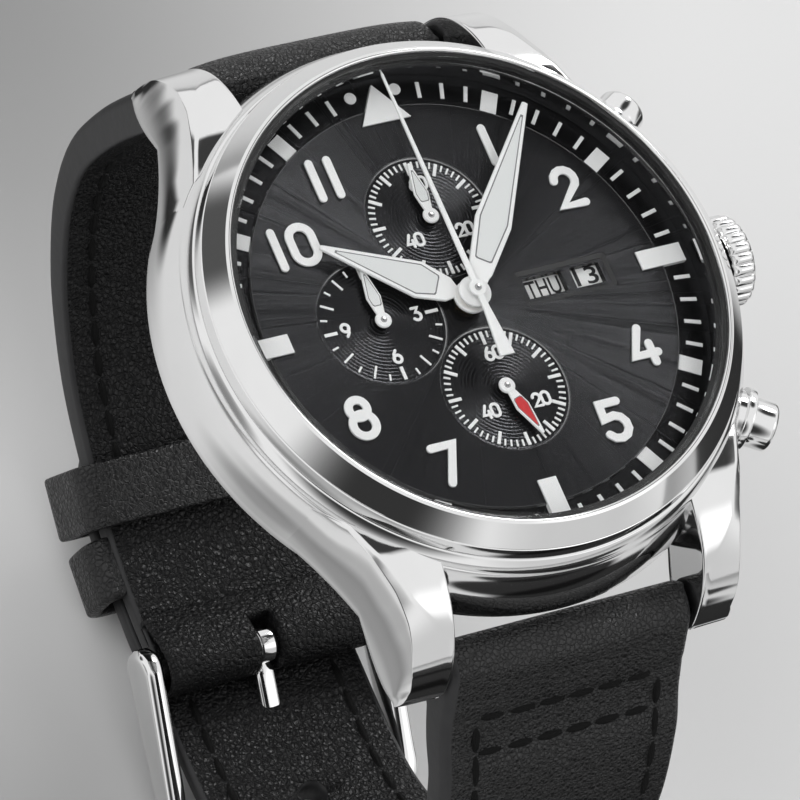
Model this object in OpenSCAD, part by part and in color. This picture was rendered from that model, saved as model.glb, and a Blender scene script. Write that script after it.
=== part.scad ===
// Chronograph wristwatch on a closed leather strap, in millimetres.
// The origin is the centre of the case back's outer face. +Z points out of the dial,
// +Y to twelve o'clock and +X to three o'clock, where the crown is.

/* [Case] */
// Diameter of the case across its flank
case_d = 43.4; // [43:0.1:45]
// Height of the mid-case band
case_h = 6.15; // [6.1:0.05:6.9]
// Wall between the flank and the bore
case_wall = 2.8; // [2.6:0.05:3.0]
// Length from lug tip to lug tip
lug_span = 49.6; // [49:0.1:51]
// Gap between the two lugs of a pair
lug_gap = 20; // [19.5:0.1:20.5]
// Width of a lug at its tip
lug_w = 3.7; // [3.4:0.1:4.2]
// How far the lug tips reach below the mid-case
lug_drop = 3.05; // [2.95:0.05:3.4]
// Thickness of the case back
back_h = 2.6; // [2.5:0.05:3.2]
// Diameter of the case back
back_d = 39.2; // [38.8:0.1:39.6]
// Thickness of the case back's floor
back_floor = 1.2; // [0.8:0.1:1.4]

/* [Bezel and crystal] */
// How far the bezel's foot stands in from the flank
bezel_step = 1.6; // [1.55:0.05:1.75]
// Height of the bezel above the mid-case
bezel_h = 2.61; // [2.55:0.01:2.9]
// Height of the bezel's upright wall, below its slope
bezel_wall = 1.1; // [0.9:0.05:1.2]
// Width of the bezel's sloping face
bezel_slope = 1.5; // [1.4:0.05:1.6]
// Width of the bezel's bright rim
rim_w = 0.35; // [0.25:0.05:0.45]
// Thickness of the crystal
crystal_t = 0.8; // [0.7:0.05:0.85]
// Width of the gasket round the crystal
gasket_w = 0.15; // [0.1:0.05:0.2]
// Width of the ledge that carries the crystal
ledge_w = 0.65; // [0.5:0.05:0.7]
// Thickness of that ledge
ledge_t = 0.3; // [0.2:0.05:0.35]
// Wall of the ring between dial and bezel
rehaut_w = 0.55; // [0.4:0.05:0.6]

/* [Dial and hands] */
// Depth of the dial's face below the top of the mid-case
dial_depth = 0.95; // [0.9:0.05:1.0]
// Thickness of the dial
dial_t = 0.4; // [0.35:0.05:0.5]
// Width of the bare rim outside the minute track
track_inset = 0.62; // [0.5:0.01:0.9]
// Width of the sunk ring that carries the minute track
track_w = 1.83; // [1.78:0.01:2]
// How far the middle of the dial stands above the minute track
dial_step = 0.25; // [0.15:0.01:0.26]
// Distance of each small dial's centre from the middle
sub_pitch = 6.85; // [6.8:0.01:6.9]
// Radius of the sunk face of each small dial
sub_r = 4.8; // [4.7:0.05:4.9]
// Height of the large numerals
numeral_h = 3.4; // [3:0.1:3.6]
// How far the hour hand stays short of the minute track's outer edge
hour_short = 6.45; // [6:0.05:7.5]
// How far the minute hand stays short of that edge
minute_short = 1.2; // [1:0.05:2]
// How far the chronograph seconds hand stays short of that edge
chrono_short = 0.1; // [0:0.05:1]
// How far the three small hands stay short of their dials' edges
sub_short = 0.6; // [0.5:0.05:1]
// Angle of the hour hand from twelve o'clock
hour_at = 303.4; // [0:0.1:360]
// Angle of the minute hand from twelve o'clock
minute_at = 37.3; // [0:0.1:360]
// Angle of the small seconds hand from twelve o'clock
seconds_at = 164.4; // [0:0.1:360]

/* [Crown and pushers] */
// Depth of the crown's axis below the dial's face
crown_drop = 3.56; // [3.4:0.02:3.6]
// Radius of the crown
crown_r = 3.4; // [3:0.05:3.5]
// Length of the crown
crown_l = 2.2; // [2.1:0.05:2.4]
// Depth of the pushers' axes below the dial's face
pusher_drop = 3.2; // [3.15:0.01:3.25]
// Angle of each pusher from three o'clock
pusher_at = 33; // [30:1:36]
// Radius of a pusher's cap
cap_r = 1.8; // [1.6:0.02:1.82]
// Travel of a pusher
pusher_travel = 1.0; // [0.8:0.05:1.05]
// Travel of the crown when it is pulled out
crown_travel = 1.0; // [0.8:0.1:1.1]

/* [Movement] */
// Radius of the movement
movement_r = 14.8; // [14.6:0.05:14.9]
// Thickness of the main plate
plate_t = 1.2; // [1.1:0.05:1.25]
// Depth of the calendar space under the dial
calendar_h = 1.0; // [0.98:0.01:1.02]
// Thickness of a wheel
wheel_t = 0.2; // [0.15:0.01:0.22]
// Radius of an arbor
arbor_r = 0.2; // [0.16:0.01:0.21]
// Radius of the battery cell
battery_r = 4.75; // [4.6:0.05:4.8]
// Height of the battery cell
battery_h = 2.1; // [1.9:0.05:2.1]

/* [Strap] */
// Thickness of the strap at the lugs
strap_t = 3.5; // [3.3:0.05:3.6]
// Thickness of the strap at its far ends
strap_t_end = 2.1; // [2:0.05:2.2]
// Gap between the strap and each lug
strap_play = 0.2; // [0.1:0.05:0.4]
// How much the buckle half narrows from the lugs to the buckle
strap_narrowing = 2; // [1.5:0.1:3]
// How much narrower the half with the holes is where it passes the buckle
long_less = 0.4; // [0.3:0.1:0.8]
// Gap between the two halves where they lie on each other
strap_gap = 0.25; // [0.2:0.01:0.3]
// Distance between two strap holes
hole_pitch = 6.5; // [6:0.1:7]
// Radius of a strap hole
hole_r = 1.1; // [0.9:0.05:1.2]
// Length of the fixed keeper along the strap
fixed_keeper_l = 4.8; // [4.4:0.1:4.9]
// Length of the free keeper along the strap
free_keeper_l = 5; // [4.5:0.1:5.2]
// Thickness of the keepers' leather
keeper_t = 1.2; // [1:0.05:1.3]

/* [Buckle] */
// Gap between the strap and each arm of the buckle
buckle_play = 0.3; // [0.2:0.05:0.6]
// Thickness of an arm
arm_t = 1.4; // [1.2:0.05:1.5]
// Distance from the hinge bar to the front bar
buckle_l = 13.55; // [13:0.05:14]
// Angle at which the buckle leans out from the strap
buckle_lean = 27; // [26:0.5:28]
// Radius of the hinge bar
bar_r = 0.75; // [0.6:0.05:0.8]
// Width of the tang
tang_w = 1.6; // [1.4:0.05:1.8]
// Thickness of the tang
tang_t = 1.0; // [0.9:0.05:1.1]
// Outward swing of the buckle frame
buckle_swing = 4; // [2:0.5:5]
// Outward swing of the tang off the front bar
tang_swing = 3; // [1:0.5:4]

/* [Hidden] */
$fn = 96;
run = 0.03;
mesh_gap = 0.02;
cut = 0.5;

// Case levels and radii
case_r = case_d / 2;
bore_r = case_r - case_wall;
mid_z0 = back_h;
mid_z1 = back_h + case_h;
dial_z = mid_z1 - dial_depth;
under_z = dial_z - dial_t;
lug_x = lug_gap / 2;
lug_y = lug_span / 2;
lug_z = mid_z0 - lug_drop;
flank_draft = 0.85;
shoulder = 1.05;
flank_z = mid_z0 + 1.6;
ridge_z = mid_z1 - shoulder;
lug_sweep = 31.4;

// Lug holes and strap bars
bar_inset = 1.5;
bar_drop = 1.7;
lug_bar = [lug_y - bar_inset, mid_z0 - bar_drop];
tip_r = 0.4;
tip_reach = 0.9;
roll_r = strap_t * 0.6;

// Bezel and crystal
bezel_r = case_r - bezel_step;
rim_r = bezel_r - bezel_slope;
seat_r = rim_r - rim_w;
crystal_r = seat_r - gasket_w;
ledge_r = seat_r - ledge_w;
rim_z = mid_z1 + bezel_h;
crystal_z1 = rim_z - 0.06;
crystal_z0 = crystal_z1 - crystal_t;
ledge_z0 = crystal_z0 - ledge_t;
skirt_w = 0.5;
skirt_h = 0.45;
skirt_r = bore_r + skirt_w;
plug_gap = 0.1;
plug_w = 1.2;
plug_h = 0.8;
plug_r = bore_r - plug_gap;

// Dial
dial_r = bore_r - 0.1;
rehaut_r = bore_r - 0.05 - rehaut_w;
track_r = rehaut_r - track_inset;
step_r = track_r - track_w;
centre_z = dial_z + dial_step;
numeral_r = track_r - 4.58;
hour_l = track_r - hour_short;
minute_l = track_r - minute_short;
chrono_l = track_r - chrono_short;
sub_hand_l = sub_r - sub_short;
mark_t = 0.08;
numeral_t = 0.15;
sub_sink = 0.1;
sub_at = [[0, sub_pitch], [-sub_pitch, 0], [0, -sub_pitch]];
day_x = [4.85, 8.0];
date_x = [8.72, 11.1];
window_y = 0.8;
surround_x = [4.3, 11.8];
surround_y = 1.35;
surround_sink = 0.15;

// Heights of the hands over the dial's face
sub_hand_z = dial_z + 0.55;
hour_z = dial_z + 0.95;
minute_z = dial_z + 1.75;
chrono_z = dial_z + 2.35;
hand_t = 0.2;
thin_hand_t = 0.15;

// Outlines of the hands: half-width and distance from the centre, from the hub outwards
hour_outline = [[0.5, 1.1], [0.96, 1.7], [1.48, 3.95], [0.17, hour_l]];
minute_outline = [[0.7, 0.9], [0.85, 1.5], [1.37, 6.0], [0.22, minute_l]];
chrono_outline = [[0.59, -5.34], [0.27, -1.6], [0.24, 0], [0.2, 5], [0.08, chrono_l]];
sub_outline = [[0.3, 0.45], [0.57, 1.8], [0.12, sub_hand_l]];
hour_hub_r = 1.25;
minute_hub_r = 1.2;
chrono_hub_r = 0.65;
chrono_boss_r = 0.45;
chrono_boss_t = 0.1;
sub_hub_r = 0.6;
sub_boss_r = 0.36;

// Nested pipes at the centre, from the inside out
tube_in = arbor_r + run;
tube_out = tube_in + 0.17;
cannon_in = tube_out + run;
cannon_out = cannon_in + 0.2;
hour_in = cannon_out + run;
hour_out = hour_in + 0.24;

// Movement levels, counted down from the main plate
plate_z1 = under_z - calendar_h;
plate_z0 = plate_z1 - plate_t;
level_step = 0.4;
function level(i) = plate_z0 - 0.1 - wheel_t - level_step * i;
bridge_z1 = level(2) - 0.1;
bridge_t = 0.6;
bridge_z0 = bridge_z1 - bridge_t;
bridge_r = 12.4;
arbor_z0 = bridge_z0 + 0.1;
board_t = 0.4;
board_z0 = bridge_z0 - board_t;
holder_r = bore_r - 0.2;
holder_in = movement_r + 0.2;

// Wheel radii, whose ratios are those of the train
pinion_s = 0.4;
pinion_m = 0.5;
seconds_r = 2.5;
middle_r = 2.4;
third_r = 3.0;
center_r = 3.2;
cannon_pinion_r = 0.9;
minute_wheel_r = 2.7;
minute_pinion_r = 0.72;
hour_wheel_r = 2.88;
rotor_r = 0.8;

// Arbor places: a triangle's third corner from its two side lengths
function meet(p, a, q, b, side) =
    let (d = norm(q - p), u = (q - p) / d, k = (a * a - b * b + d * d) / (2 * d))
    p + k * u + side * sqrt(a * a - k * k) * [-u.y, u.x];
function toward(p, l, a) = p + l * [cos(a), sin(a)];
center = [0, 0];
minutes_at = sub_at[0];
hours_at = sub_at[1];
small_at = sub_at[2];
d_third = pinion_s + third_r + mesh_gap;
d_center = pinion_s + center_r + mesh_gap;
d_middle = pinion_m + seconds_r + mesh_gap;
d_rotor = pinion_s + middle_r + mesh_gap;
d_motion = cannon_pinion_r + minute_wheel_r + mesh_gap;
third_at = meet(small_at, d_third, center, d_center, 1);
middle_at = toward(small_at, d_middle, -60);
rotor_at = toward(middle_at, d_rotor, -15);
chrono_middle_at = toward(center, d_middle, 15);
chrono_rotor_at = toward(chrono_middle_at, d_rotor, 40);
counter_at = meet(center, d_third, minutes_at, d_center, -1);
hours_rotor_at = toward(hours_at, d_rotor, 225);
motion_at = toward(center, d_motion, 135);
battery_at = [-7, 7];
motors = [[rotor_at, -67.5], [chrono_rotor_at, 10], [hours_rotor_at, 200]];
coil_off = 1.9;
coil_r = 0.6;
coil_half = 3.6;
stator_half = 4.2;
magnet_z = level(0);

// Calendar
date_in = 8.2;
date_out = 11.6;
date_t = 0.15;
date_z = under_z - 0.25;
day_at = [6.4, -4.2];
day_r = 5.4;
day_z = under_z - 0.5;

// Crown and pushers
crown_z = dial_z - crown_drop;
crown_x0 = case_r + 0.15;
crown_x1 = crown_x0 + crown_l;
crown_wall = 0.8;
tube_r = 1.3;
crown_bore = tube_r + 0.35;
gasket_l = 0.4;
stem_r = 0.6;
stem_x0 = 9;
clutch_r = stem_r + 0.15;
flutes = 24;
pusher_z = dial_z - pusher_drop;
cap_x0 = case_r + 0.6;
cap_x1 = case_r + 2.7;
collar_r = cap_r + 0.2;
collar_x1 = case_r + 0.8;
collar_x0 = case_r - 1.7;
flange_r = cap_r + 0.5;
flange_x0 = case_r + 0.15;
shaft_r = 0.7;
shaft_x0 = movement_r + 2.4;

// Strap routes in the Y-Z plane. Each row is an offset from the lug's bar
// and a share of the way from the thick to the thin end.
short_offsets = [
    [0, 0, 0], [1.7, -4.5, 0], [3.9, -9.5, 0.04], [5.9, -15.5, 0.08], [6.9, -21.3, 0.14],
    [6.0, -26.5, 0.2], [3.9, -30.7, 0.28], [0.9, -34.5, 0.36], [-4.0, -38.5, 0.43],
    [-10.0, -41.3, 0.5], [-15.3, -42.9, 0.72], [-21.8, -43.7, 0.93], [-26.6, -43.65, 1]];
long_offsets = [
    [0, 0, 0], [-3.1, -4.5, 0.3], [-5.6, -7.4, 0.5], [-8.4, -13.1, 0.55], [-9.5, -19.6, 0.6],
    [-8.9, -26.6, 0.7], [-6.1, -33.6, 0.8], [-1.2, -39.8, 0.9], [5.0, -44.2, 1],
    [10.8, -45.8, 1]];
route_steps = 4;
function strap_th(f) = strap_t + (strap_t_end - strap_t) * f;
short_ctrl = [for (p = short_offsets) [lug_bar.x + p.x, lug_bar.y + p.y, strap_th(p.z)]];
tail_count = 5;
n_short = len(short_ctrl);
function plane(p) = [p.x, p.y];
function left(v) = [-v.y, v.x] / norm(v);
function way(path, i) = plane(path[min(i + 1, len(path) - 1)]) - plane(path[max(i - 1, 0)]);
tail_ctrl = [for (k = [1:tail_count])
    let (i = n_short - k, p = short_ctrl[i], d = p.z / 2 + strap_gap + strap_t_end / 2,
        q = plane(p) + d * left(way(short_ctrl, i)))
    [q.x, q.y, strap_t_end]];
long_ctrl = concat(
    [for (p = long_offsets) [-lug_bar.x + p.x, lug_bar.y + p.y, strap_th(p.z)]], tail_ctrl);

// A smooth curve through control rows
function knot(c, i) = c[max(0, min(len(c) - 1, i))];
function curve_at(c, i, t) =
    let (a = knot(c, i - 1), b = knot(c, i), d = knot(c, i + 1), e = knot(c, i + 2))
    0.5 * (2 * b + (d - a) * t + (2 * a - 5 * b + 4 * d - e) * t * t
        + (3 * b - a - 3 * d + e) * t * t * t);
function curve(c, n) = concat(
    [for (i = [0:len(c) - 2], j = [0:n - 1]) curve_at(c, i, j / n)], [c[len(c) - 1]]);
function side(path, s) =
    [for (i = [0:len(path) - 1]) plane(path[i]) + s * path[i].z / 2 * left(way(path, i))];
function flip(p) = [for (i = [len(p) - 1:-1:0]) p[i]];
function band(path) = concat(side(path, 1), flip(side(path, -1)));
function bezier(a, b, c, n) =
    [for (i = [0:n]) let (t = i / n) a * (1 - t) * (1 - t) + 2 * b * t * (1 - t) + c * t * t];
function arc(c, r, a0, a1, n) =
    [for (i = [0:n]) let (a = a0 + (a1 - a0) * i / n) c + r * [cos(a), sin(a)]];
// The outline round two circles, the first at the origin and the second on the x axis
function drop(r1, l, r2, n) =
    let (a = acos((r1 - r2) / l)) concat(arc([0, 0], r1, a, 360 - a, n), arc([l, 0], r2, -a, a, n));

short_path = curve(short_ctrl, route_steps);
long_path = curve(long_ctrl, route_steps);

strap_w = lug_gap - 2 * strap_play;
short_w = strap_w - strap_narrowing;
long_w = short_w - long_less;

// Buckle
hinge = [short_ctrl[n_short - 1].x, short_ctrl[n_short - 1].y + strap_t_end / 2];
fold_r = strap_t_end;
arm_end_r = 1.65;
front_r = 1.1;
window_w = short_w + 2 * buckle_play;
buckle_w = window_w + 2 * arm_t;
tang_loop_r = bar_r + 0.65;
tang_w0 = front_r + 0.05 - tang_t;
bar_play = 0.05;
slot_play = 0.25;

// Keepers, each at a place between two control rows
fixed_seg = [n_short - 3, 0.34];
free_seg = [n_short - 4, 0.38];
fixed_play = 0.25;
free_play = 0.45;
keeper_side = 0.55;
keeper_corner = 0.8;
keeper_slide = 2.5;

// Helpers
module disc(r, z0, z1) { translate([0, 0, z0]) cylinder(r = r, h = z1 - z0); }
module ring(r, r_in, z0, z1) {
    difference() {
        disc(r, z0, z1);
        disc(r_in, z0 - cut, z1 + cut);
    }
}
module at(p) { translate([p.x, p.y, 0]) children(); }
// Turns a shape drawn upwards so that it points out from the axis at an angle
module radial(a, z) { rotate([0, 0, a]) translate([0, 0, z]) rotate([0, 90, 0]) children(); }
// Extrudes a Y-Z outline across the watch
module across(w) { rotate([90, 0, 90]) linear_extrude(w, center = true) children(); }
module bar_x(p, r, w) { translate([-w / 2, p.x, p.y]) rotate([0, 90, 0]) cylinder(r = r, h = w); }
module gear(r, teeth, z, t = wheel_t) {
    tooth = 0.08;
    translate([0, 0, z]) linear_extrude(t) polygon([for (i = [0:2 * teeth - 1])
        let (a = 180 * i / teeth, q = i % 2 == 0 ? r : r - tooth) q * [cos(a), sin(a)]]);
}
module wheel(r, r_hub, teeth, z) {
    difference() {
        gear(r, teeth, z);
        for (a = [45:90:315]) translate([r * 0.52 * cos(a), r * 0.52 * sin(a), z - cut])
            cylinder(r = r * 0.24, h = wheel_t + 2 * cut);
    }
}

// Case
// The curve in which the flanks of ring and lugs lean in towards the ridge
function flank(r, lean) = bezier([r, flank_z], [r, flank_z + 1.8], [r + lean, ridge_z], 6);
module lug() {
    root_a = 34.5;
    root = case_r * [cos(root_a), sin(root_a)];
    corner = [lug_x + lug_w, lug_y - 0.8];
    plan = [[lug_x, root.y - 2], [root.x - 1, root.y - 2], root, corner,
        corner + [-0.3, 0.55], corner + [-0.9, 0.8], [lug_x, lug_y]];
    top_z = mid_z1 - 0.45;
    tip = [lug_y, lug_z + 1.45];
    heel = [lug_y - 1.6, lug_z];
    side_view = concat([[root.y - 3, mid_z0], [root.y - 3, top_z]],
        bezier([case_r - 5.2, top_z], [lug_y - 1.2, top_z - 1], tip, 12),
        [[lug_y - 0.2, lug_z + 0.3], [lug_y - 0.7, lug_z]],
        bezier(heel, [lug_y - 3.4, lug_z + 0.2], [case_r - 2.9, mid_z0], 6));
    difference() {
        intersection() {
            translate([0, 0, lug_z - cut]) linear_extrude(mid_z1) polygon(plan);
            across(2 * case_d) polygon(side_view);
        }
        at(meet(root, lug_sweep, corner, lug_sweep, -1)) rotate_extrude() polygon(concat(
            [[0, lug_z - cut], [lug_sweep, lug_z - cut]], flank(lug_sweep, flank_draft),
            [[lug_sweep + flank_draft + 0.5, mid_z1], [0, mid_z1]]));
    }
}
module mid_case() {
    ridge = [case_r - flank_draft, ridge_z];
    profile = concat([[bore_r, mid_z0], [case_r - 0.25, mid_z0], [case_r, mid_z0 + 0.25]],
        flank(case_r, -flank_draft),
        bezier(ridge + [-0.08, 0.12], ridge + [-0.27, 0.6], [case_r - 1.5, mid_z1], 4),
        [[skirt_r, mid_z1], [skirt_r, mid_z1 - skirt_h], [bore_r, mid_z1 - skirt_h]]);
    color("silver") difference() {
        union() {
            rotate_extrude() polygon(profile);
            for (mx = [0, 1], my = [0, 1]) mirror([mx, 0, 0]) mirror([0, my, 0]) difference() {
                lug();
                disc(case_r - 1.7, mid_z0 - cut, mid_z1 + cut);
            }
        }
        for (y = [-lug_bar.x, lug_bar.x])
            bar_x([y, lug_bar.y], tip_r + bar_play, lug_gap + 2 * (tip_reach + bar_play));
        for (a = [-pusher_at, pusher_at]) radial(a, pusher_z) {
            translate([0, 0, collar_x0]) cylinder(r = collar_r, h = case_wall);
            translate([0, 0, flange_x0 - run]) cylinder(r = flange_r + 0.1, h = 2);
            cylinder(r = tube_r, h = case_r);
        }
        radial(0, crown_z) cylinder(r = tube_r, h = case_r + 1);
    }
}
module case_back() {
    rim = back_d / 2;
    profile = [[0, 0], [rim - 2.6, 0], [rim - 0.5, 1.1], [rim, 1.3], [rim, back_h],
        [plug_r, back_h], [plug_r, back_h + plug_h], [plug_r - plug_w, back_h + plug_h],
        [plug_r - plug_w, back_floor], [0, back_floor]];
    color("silver") difference() {
        rotate_extrude() polygon(profile);
        for (a = [0:60:300]) rotate([0, 0, a]) translate([rim - 2.2, -1.1, -cut])
            cube([3, 2.2, cut + 0.8]);
        ring(plug_r + 0.55, plug_r + 0.15, back_h - 0.3, back_h + cut);
    }
}
module case_back_gasket() {
    color("black") ring(plug_r + 0.55, plug_r + 0.15, back_h - 0.3, back_h);
}
module bezel() {
    foot = mid_z1;
    brow = mid_z1 + bezel_wall;
    color("silver") rotate_extrude() polygon(concat(
        [[bore_r, foot - skirt_h], [skirt_r, foot - skirt_h], [skirt_r, foot],
        [bezel_r - 0.1, foot], [bezel_r, foot + 0.1], [bezel_r - 0.16, brow - 0.16],
        [bezel_r - 0.26, brow - 0.12], [bezel_r - 0.26, brow - 0.06], [bezel_r - 0.2, brow],
        [rim_r + 0.04, rim_z - 0.08]],
        arc([rim_r - rim_w / 2, rim_z - rim_w / 2], rim_w / 2, 60, 150, 5),
        [[seat_r, rim_z - 0.15], [seat_r, crystal_z0], [ledge_r, crystal_z0],
        [ledge_r, ledge_z0], [bore_r, ledge_z0]]));
}
module crystal() {
    bevel = 0.3;
    color("lightcyan", 0.4) rotate_extrude() polygon([[0, crystal_z0], [crystal_r, crystal_z0],
        [crystal_r, crystal_z1 - bevel], [crystal_r - bevel, crystal_z1], [0, crystal_z1]]);
}
module crystal_gasket() {
    color("dimgray") ring(seat_r, crystal_r, crystal_z0, crystal_z1 - 0.3);
}
module rehaut_ring() { color("gainsboro") ring(rehaut_r + rehaut_w, rehaut_r, dial_z, ledge_z0); }

// Dial and its markings
module dial() {
    function mid(v) = (v[0] + v[1]) / 2;
    color("black") difference() {
        union() {
            disc(dial_r, under_z, dial_z);
            disc(step_r, under_z, centre_z);
        }
        disc(hour_out + 0.1, under_z - cut, centre_z + cut);
        for (p = sub_at) at(p) {
            disc(sub_r, centre_z - sub_sink, centre_z + cut);
            disc(arbor_r + 0.15, under_z - cut, centre_z + cut);
        }
        for (x = [day_x, date_x]) translate([mid(x), 0, dial_z])
            cube([x[1] - x[0], 2 * window_y, 2 * (dial_t + dial_step)], center = true);
        translate([mid(surround_x), 0, centre_z])
            cube([surround_x[1] - surround_x[0], 2 * surround_y, 2 * surround_sink], center = true);
    }
}
module tick(a, r0, r1, w, t) {
    rotate([0, 0, -a]) translate([-w / 2, r0, 0]) cube([w, r1 - r0, t]);
}
// Strokes of the numerals, in units of the numeral's height
stroke = 0.18;
top = 0.5 - stroke / 2;
function glyph(n) =
    n == 1 ? [[[0, -top], [0, top]]] :
    n == 2 ? [concat(arc([0, 0.17], 0.24, 175, -35, 8), [[-0.25, -top], [0.27, -top]])] :
    n == 3 ? [concat([[-0.2, top], [0.2, top], [-0.02, 0.11]], arc([0, -0.15], 0.26, 80, -150, 8))] :
    n == 4 ? [[[0.02, top], [-0.27, -0.2], [0.27, -0.2]], [[0.14, 0.03], [0.14, -top]]] :
    n == 5 ? [concat([[0.22, top], [-0.19, top], [-0.21, 0.07]], arc([0, -0.15], 0.26, 115, -150, 8))] :
    n == 6 ? [[[-0.22, -0.12], [-0.13, 0.2], [0.03, top]]] :
    n == 7 ? [[[-0.25, top], [0.25, top], [-0.1, -top]]] :
    n == 9 ? [[[0.22, 0.12], [0.13, -0.2], [-0.03, -top]]] : [];
// Closed loops of the numerals: centre, radius and half the straight length
function loops(n) =
    n == 0 ? [[[0, 0], 0.25, 0.16]] :
    n == 6 ? [[[0, -0.16], 0.25, 0]] :
    n == 9 ? [[[0, 0.16], 0.25, 0]] :
    n == 8 ? [[[0, 0.21], 0.2, 0], [[0, -0.16], 0.25, 0]] : [];
function miter(path, i) =
    let (n = len(path), u = left(path[min(i + 1, n - 1)] - path[min(i, n - 2)]),
        v = left(path[max(i, 1)] - path[max(i - 1, 0)]), m = u + v, h = norm(m) / 2)
    m / norm(m) / max(h, 0.6);
function heading(v) = atan2(v.y, v.x);
function ribbon(path, w) =
    let (n = len(path), a = heading(path[n - 1] - path[n - 2]), b = heading(path[1] - path[0]))
    concat([for (i = [1:1:n - 2]) path[i] + w / 2 * miter(path, i)],
        arc(path[n - 1], w / 2, a + 90, a - 90, 6),
        [for (i = [n - 2:-1:1]) path[i] - w / 2 * miter(path, i)],
        arc(path[0], w / 2, b - 90, b - 270, 6));
module stadium(r, half) {
    circle(r = r);
    if (half > 0) {
        square([2 * r, 2 * half], center = true);
        for (s = [-1, 1]) translate([0, s * half]) circle(r = r);
    }
}
module numeral(n, h, t) {
    scale(h) linear_extrude(t / h) {
        for (path = glyph(n)) polygon(ribbon(path, stroke));
        for (o = loops(n)) translate(o[0]) difference() {
            union() stadium(o[1] + stroke / 2, o[2]);
            union() stadium(o[1] - stroke / 2, o[2]);
        }
    }
}
module number(digits, h, t) {
    half = (len(digits) - 1) / 2;
    // Two ones stand closer together than other pairs
    pitch = (digits == [1, 1] ? 0.42 : 0.6) * h;
    for (i = [0:len(digits) - 1]) translate([(i - half) * pitch, 0, 0]) numeral(digits[i], h, t);
}
module dial_markers() {
    block_w = 1.2;
    quarter_w = 1.45;
    quarter_l = 3.6;
    arrow_l = 3;
    arrow_w = 3.9;
    dot_r = 0.45;
    // Each numeral with its angle from twelve
    numerals = [[[1], 31], [[2], 59], [[4], 118.6], [[5], 148.5], [[7], 210], [[8], 240],
        [[1, 0], 302], [[1, 1], 330.5]];
    color("gainsboro") {
        translate([0, 0, dial_z]) {
            for (m = [2:58]) if (m % 5 != 0) tick(m * 6, track_r - 1.25, track_r, 0.28, mark_t);
            for (m = [5, 10, 20, 25, 35, 40, 50, 55])
                tick(m * 6, track_r - 1.75, track_r, block_w, mark_t);
            for (a = [-6, 6]) rotate([0, 0, a]) translate([0, track_r - dot_r, 0])
                cylinder(r = dot_r, h = mark_t);
            difference() {
                union() {
                    for (m = [15, 30, 45])
                        tick(m * 6, track_r - quarter_l, track_r, quarter_w, dial_step + numeral_t);
                    linear_extrude(dial_step + numeral_t) polygon([[0, track_r],
                        [-arrow_w / 2, track_r - arrow_l], [arrow_w / 2, track_r - arrow_l]]);
                }
                disc(step_r, -cut, dial_step);
            }
        }
        for (n = numerals) rotate([0, 0, -n[1]]) translate([0, numeral_r, centre_z])
            rotate([0, 0, n[1]]) number(n[0], numeral_h, numeral_t);
    }
}
module small_dial_scales() {
    digit_h = 1.15;
    long_r = sub_r - 1.3;
    edge_r = sub_r - 0.3;
    color("gainsboro") translate([0, 0, centre_z - sub_sink]) {
        for (p = [sub_at[0], sub_at[2]]) at(p) {
            for (m = [0:59]) if (m % 5 != 0) tick(m * 6, edge_r - 0.5, edge_r, 0.13, mark_t);
            for (m = [0:5:55]) tick(m * 6, long_r, edge_r, 0.24, mark_t);
            translate([0.3, 2.75, 0]) number([6, 0], digit_h, mark_t);
            translate([2.3, -1.4, 0]) number([2, 0], digit_h, mark_t);
            translate([-1.75, -1.4, 0]) number([4, 0], digit_h, mark_t);
        }
        at(sub_at[1]) {
            for (m = [1:2:23]) tick(m * 15, edge_r - 0.5, edge_r, 0.13, mark_t);
            for (m = [0:11]) tick(m * 30, long_r, edge_r, m % 3 == 0 ? 0.24 : 0.15, mark_t);
            translate([2.8, 0.05, 0]) numeral(3, digit_h, mark_t);
            translate([0.05, -2.7, 0]) numeral(6, digit_h, mark_t);
            translate([-2.8, 0.05, 0]) numeral(9, digit_h, mark_t);
        }
    }
}

// Hands. Each is drawn pointing to twelve and turned to the time that it shows.
module blade(z, t, a, hub_r, hole_r_in, outline) {
    rotate([0, 0, -a]) translate([0, 0, z]) linear_extrude(t) difference() {
        union() {
            polygon(concat(outline, flip([for (p = outline) [-p.x, p.y]])));
            circle(r = hub_r);
        }
        circle(r = hole_r_in);
    }
}
module hour_hand() {
    color("white") blade(hour_z, hand_t, hour_at, hour_hub_r, hour_out, hour_outline);
}
module minute_hand() {
    color("white") blade(minute_z, hand_t, minute_at, minute_hub_r, cannon_out, minute_outline);
}
module chrono_hand() {
    color("white") {
        blade(chrono_z, thin_hand_t, 0, chrono_hub_r, arbor_r, chrono_outline);
        ring(chrono_boss_r, arbor_r, chrono_z + thin_hand_t, chrono_z + thin_hand_t + chrono_boss_t);
    }
}
module sub_hand(p, a) {
    at(p) {
        blade(sub_hand_z, thin_hand_t, a, sub_hub_r, arbor_r, sub_outline);
        ring(sub_boss_r, arbor_r, centre_z + 0.05, sub_hand_z);
    }
}
module minute_counter_hand() { color("white") sub_hand(minutes_at, 0); }
module hour_counter_hand() { color("white") sub_hand(hours_at, 0); }
module small_seconds_hand() { color("white") sub_hand(small_at, seconds_at); }

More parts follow.
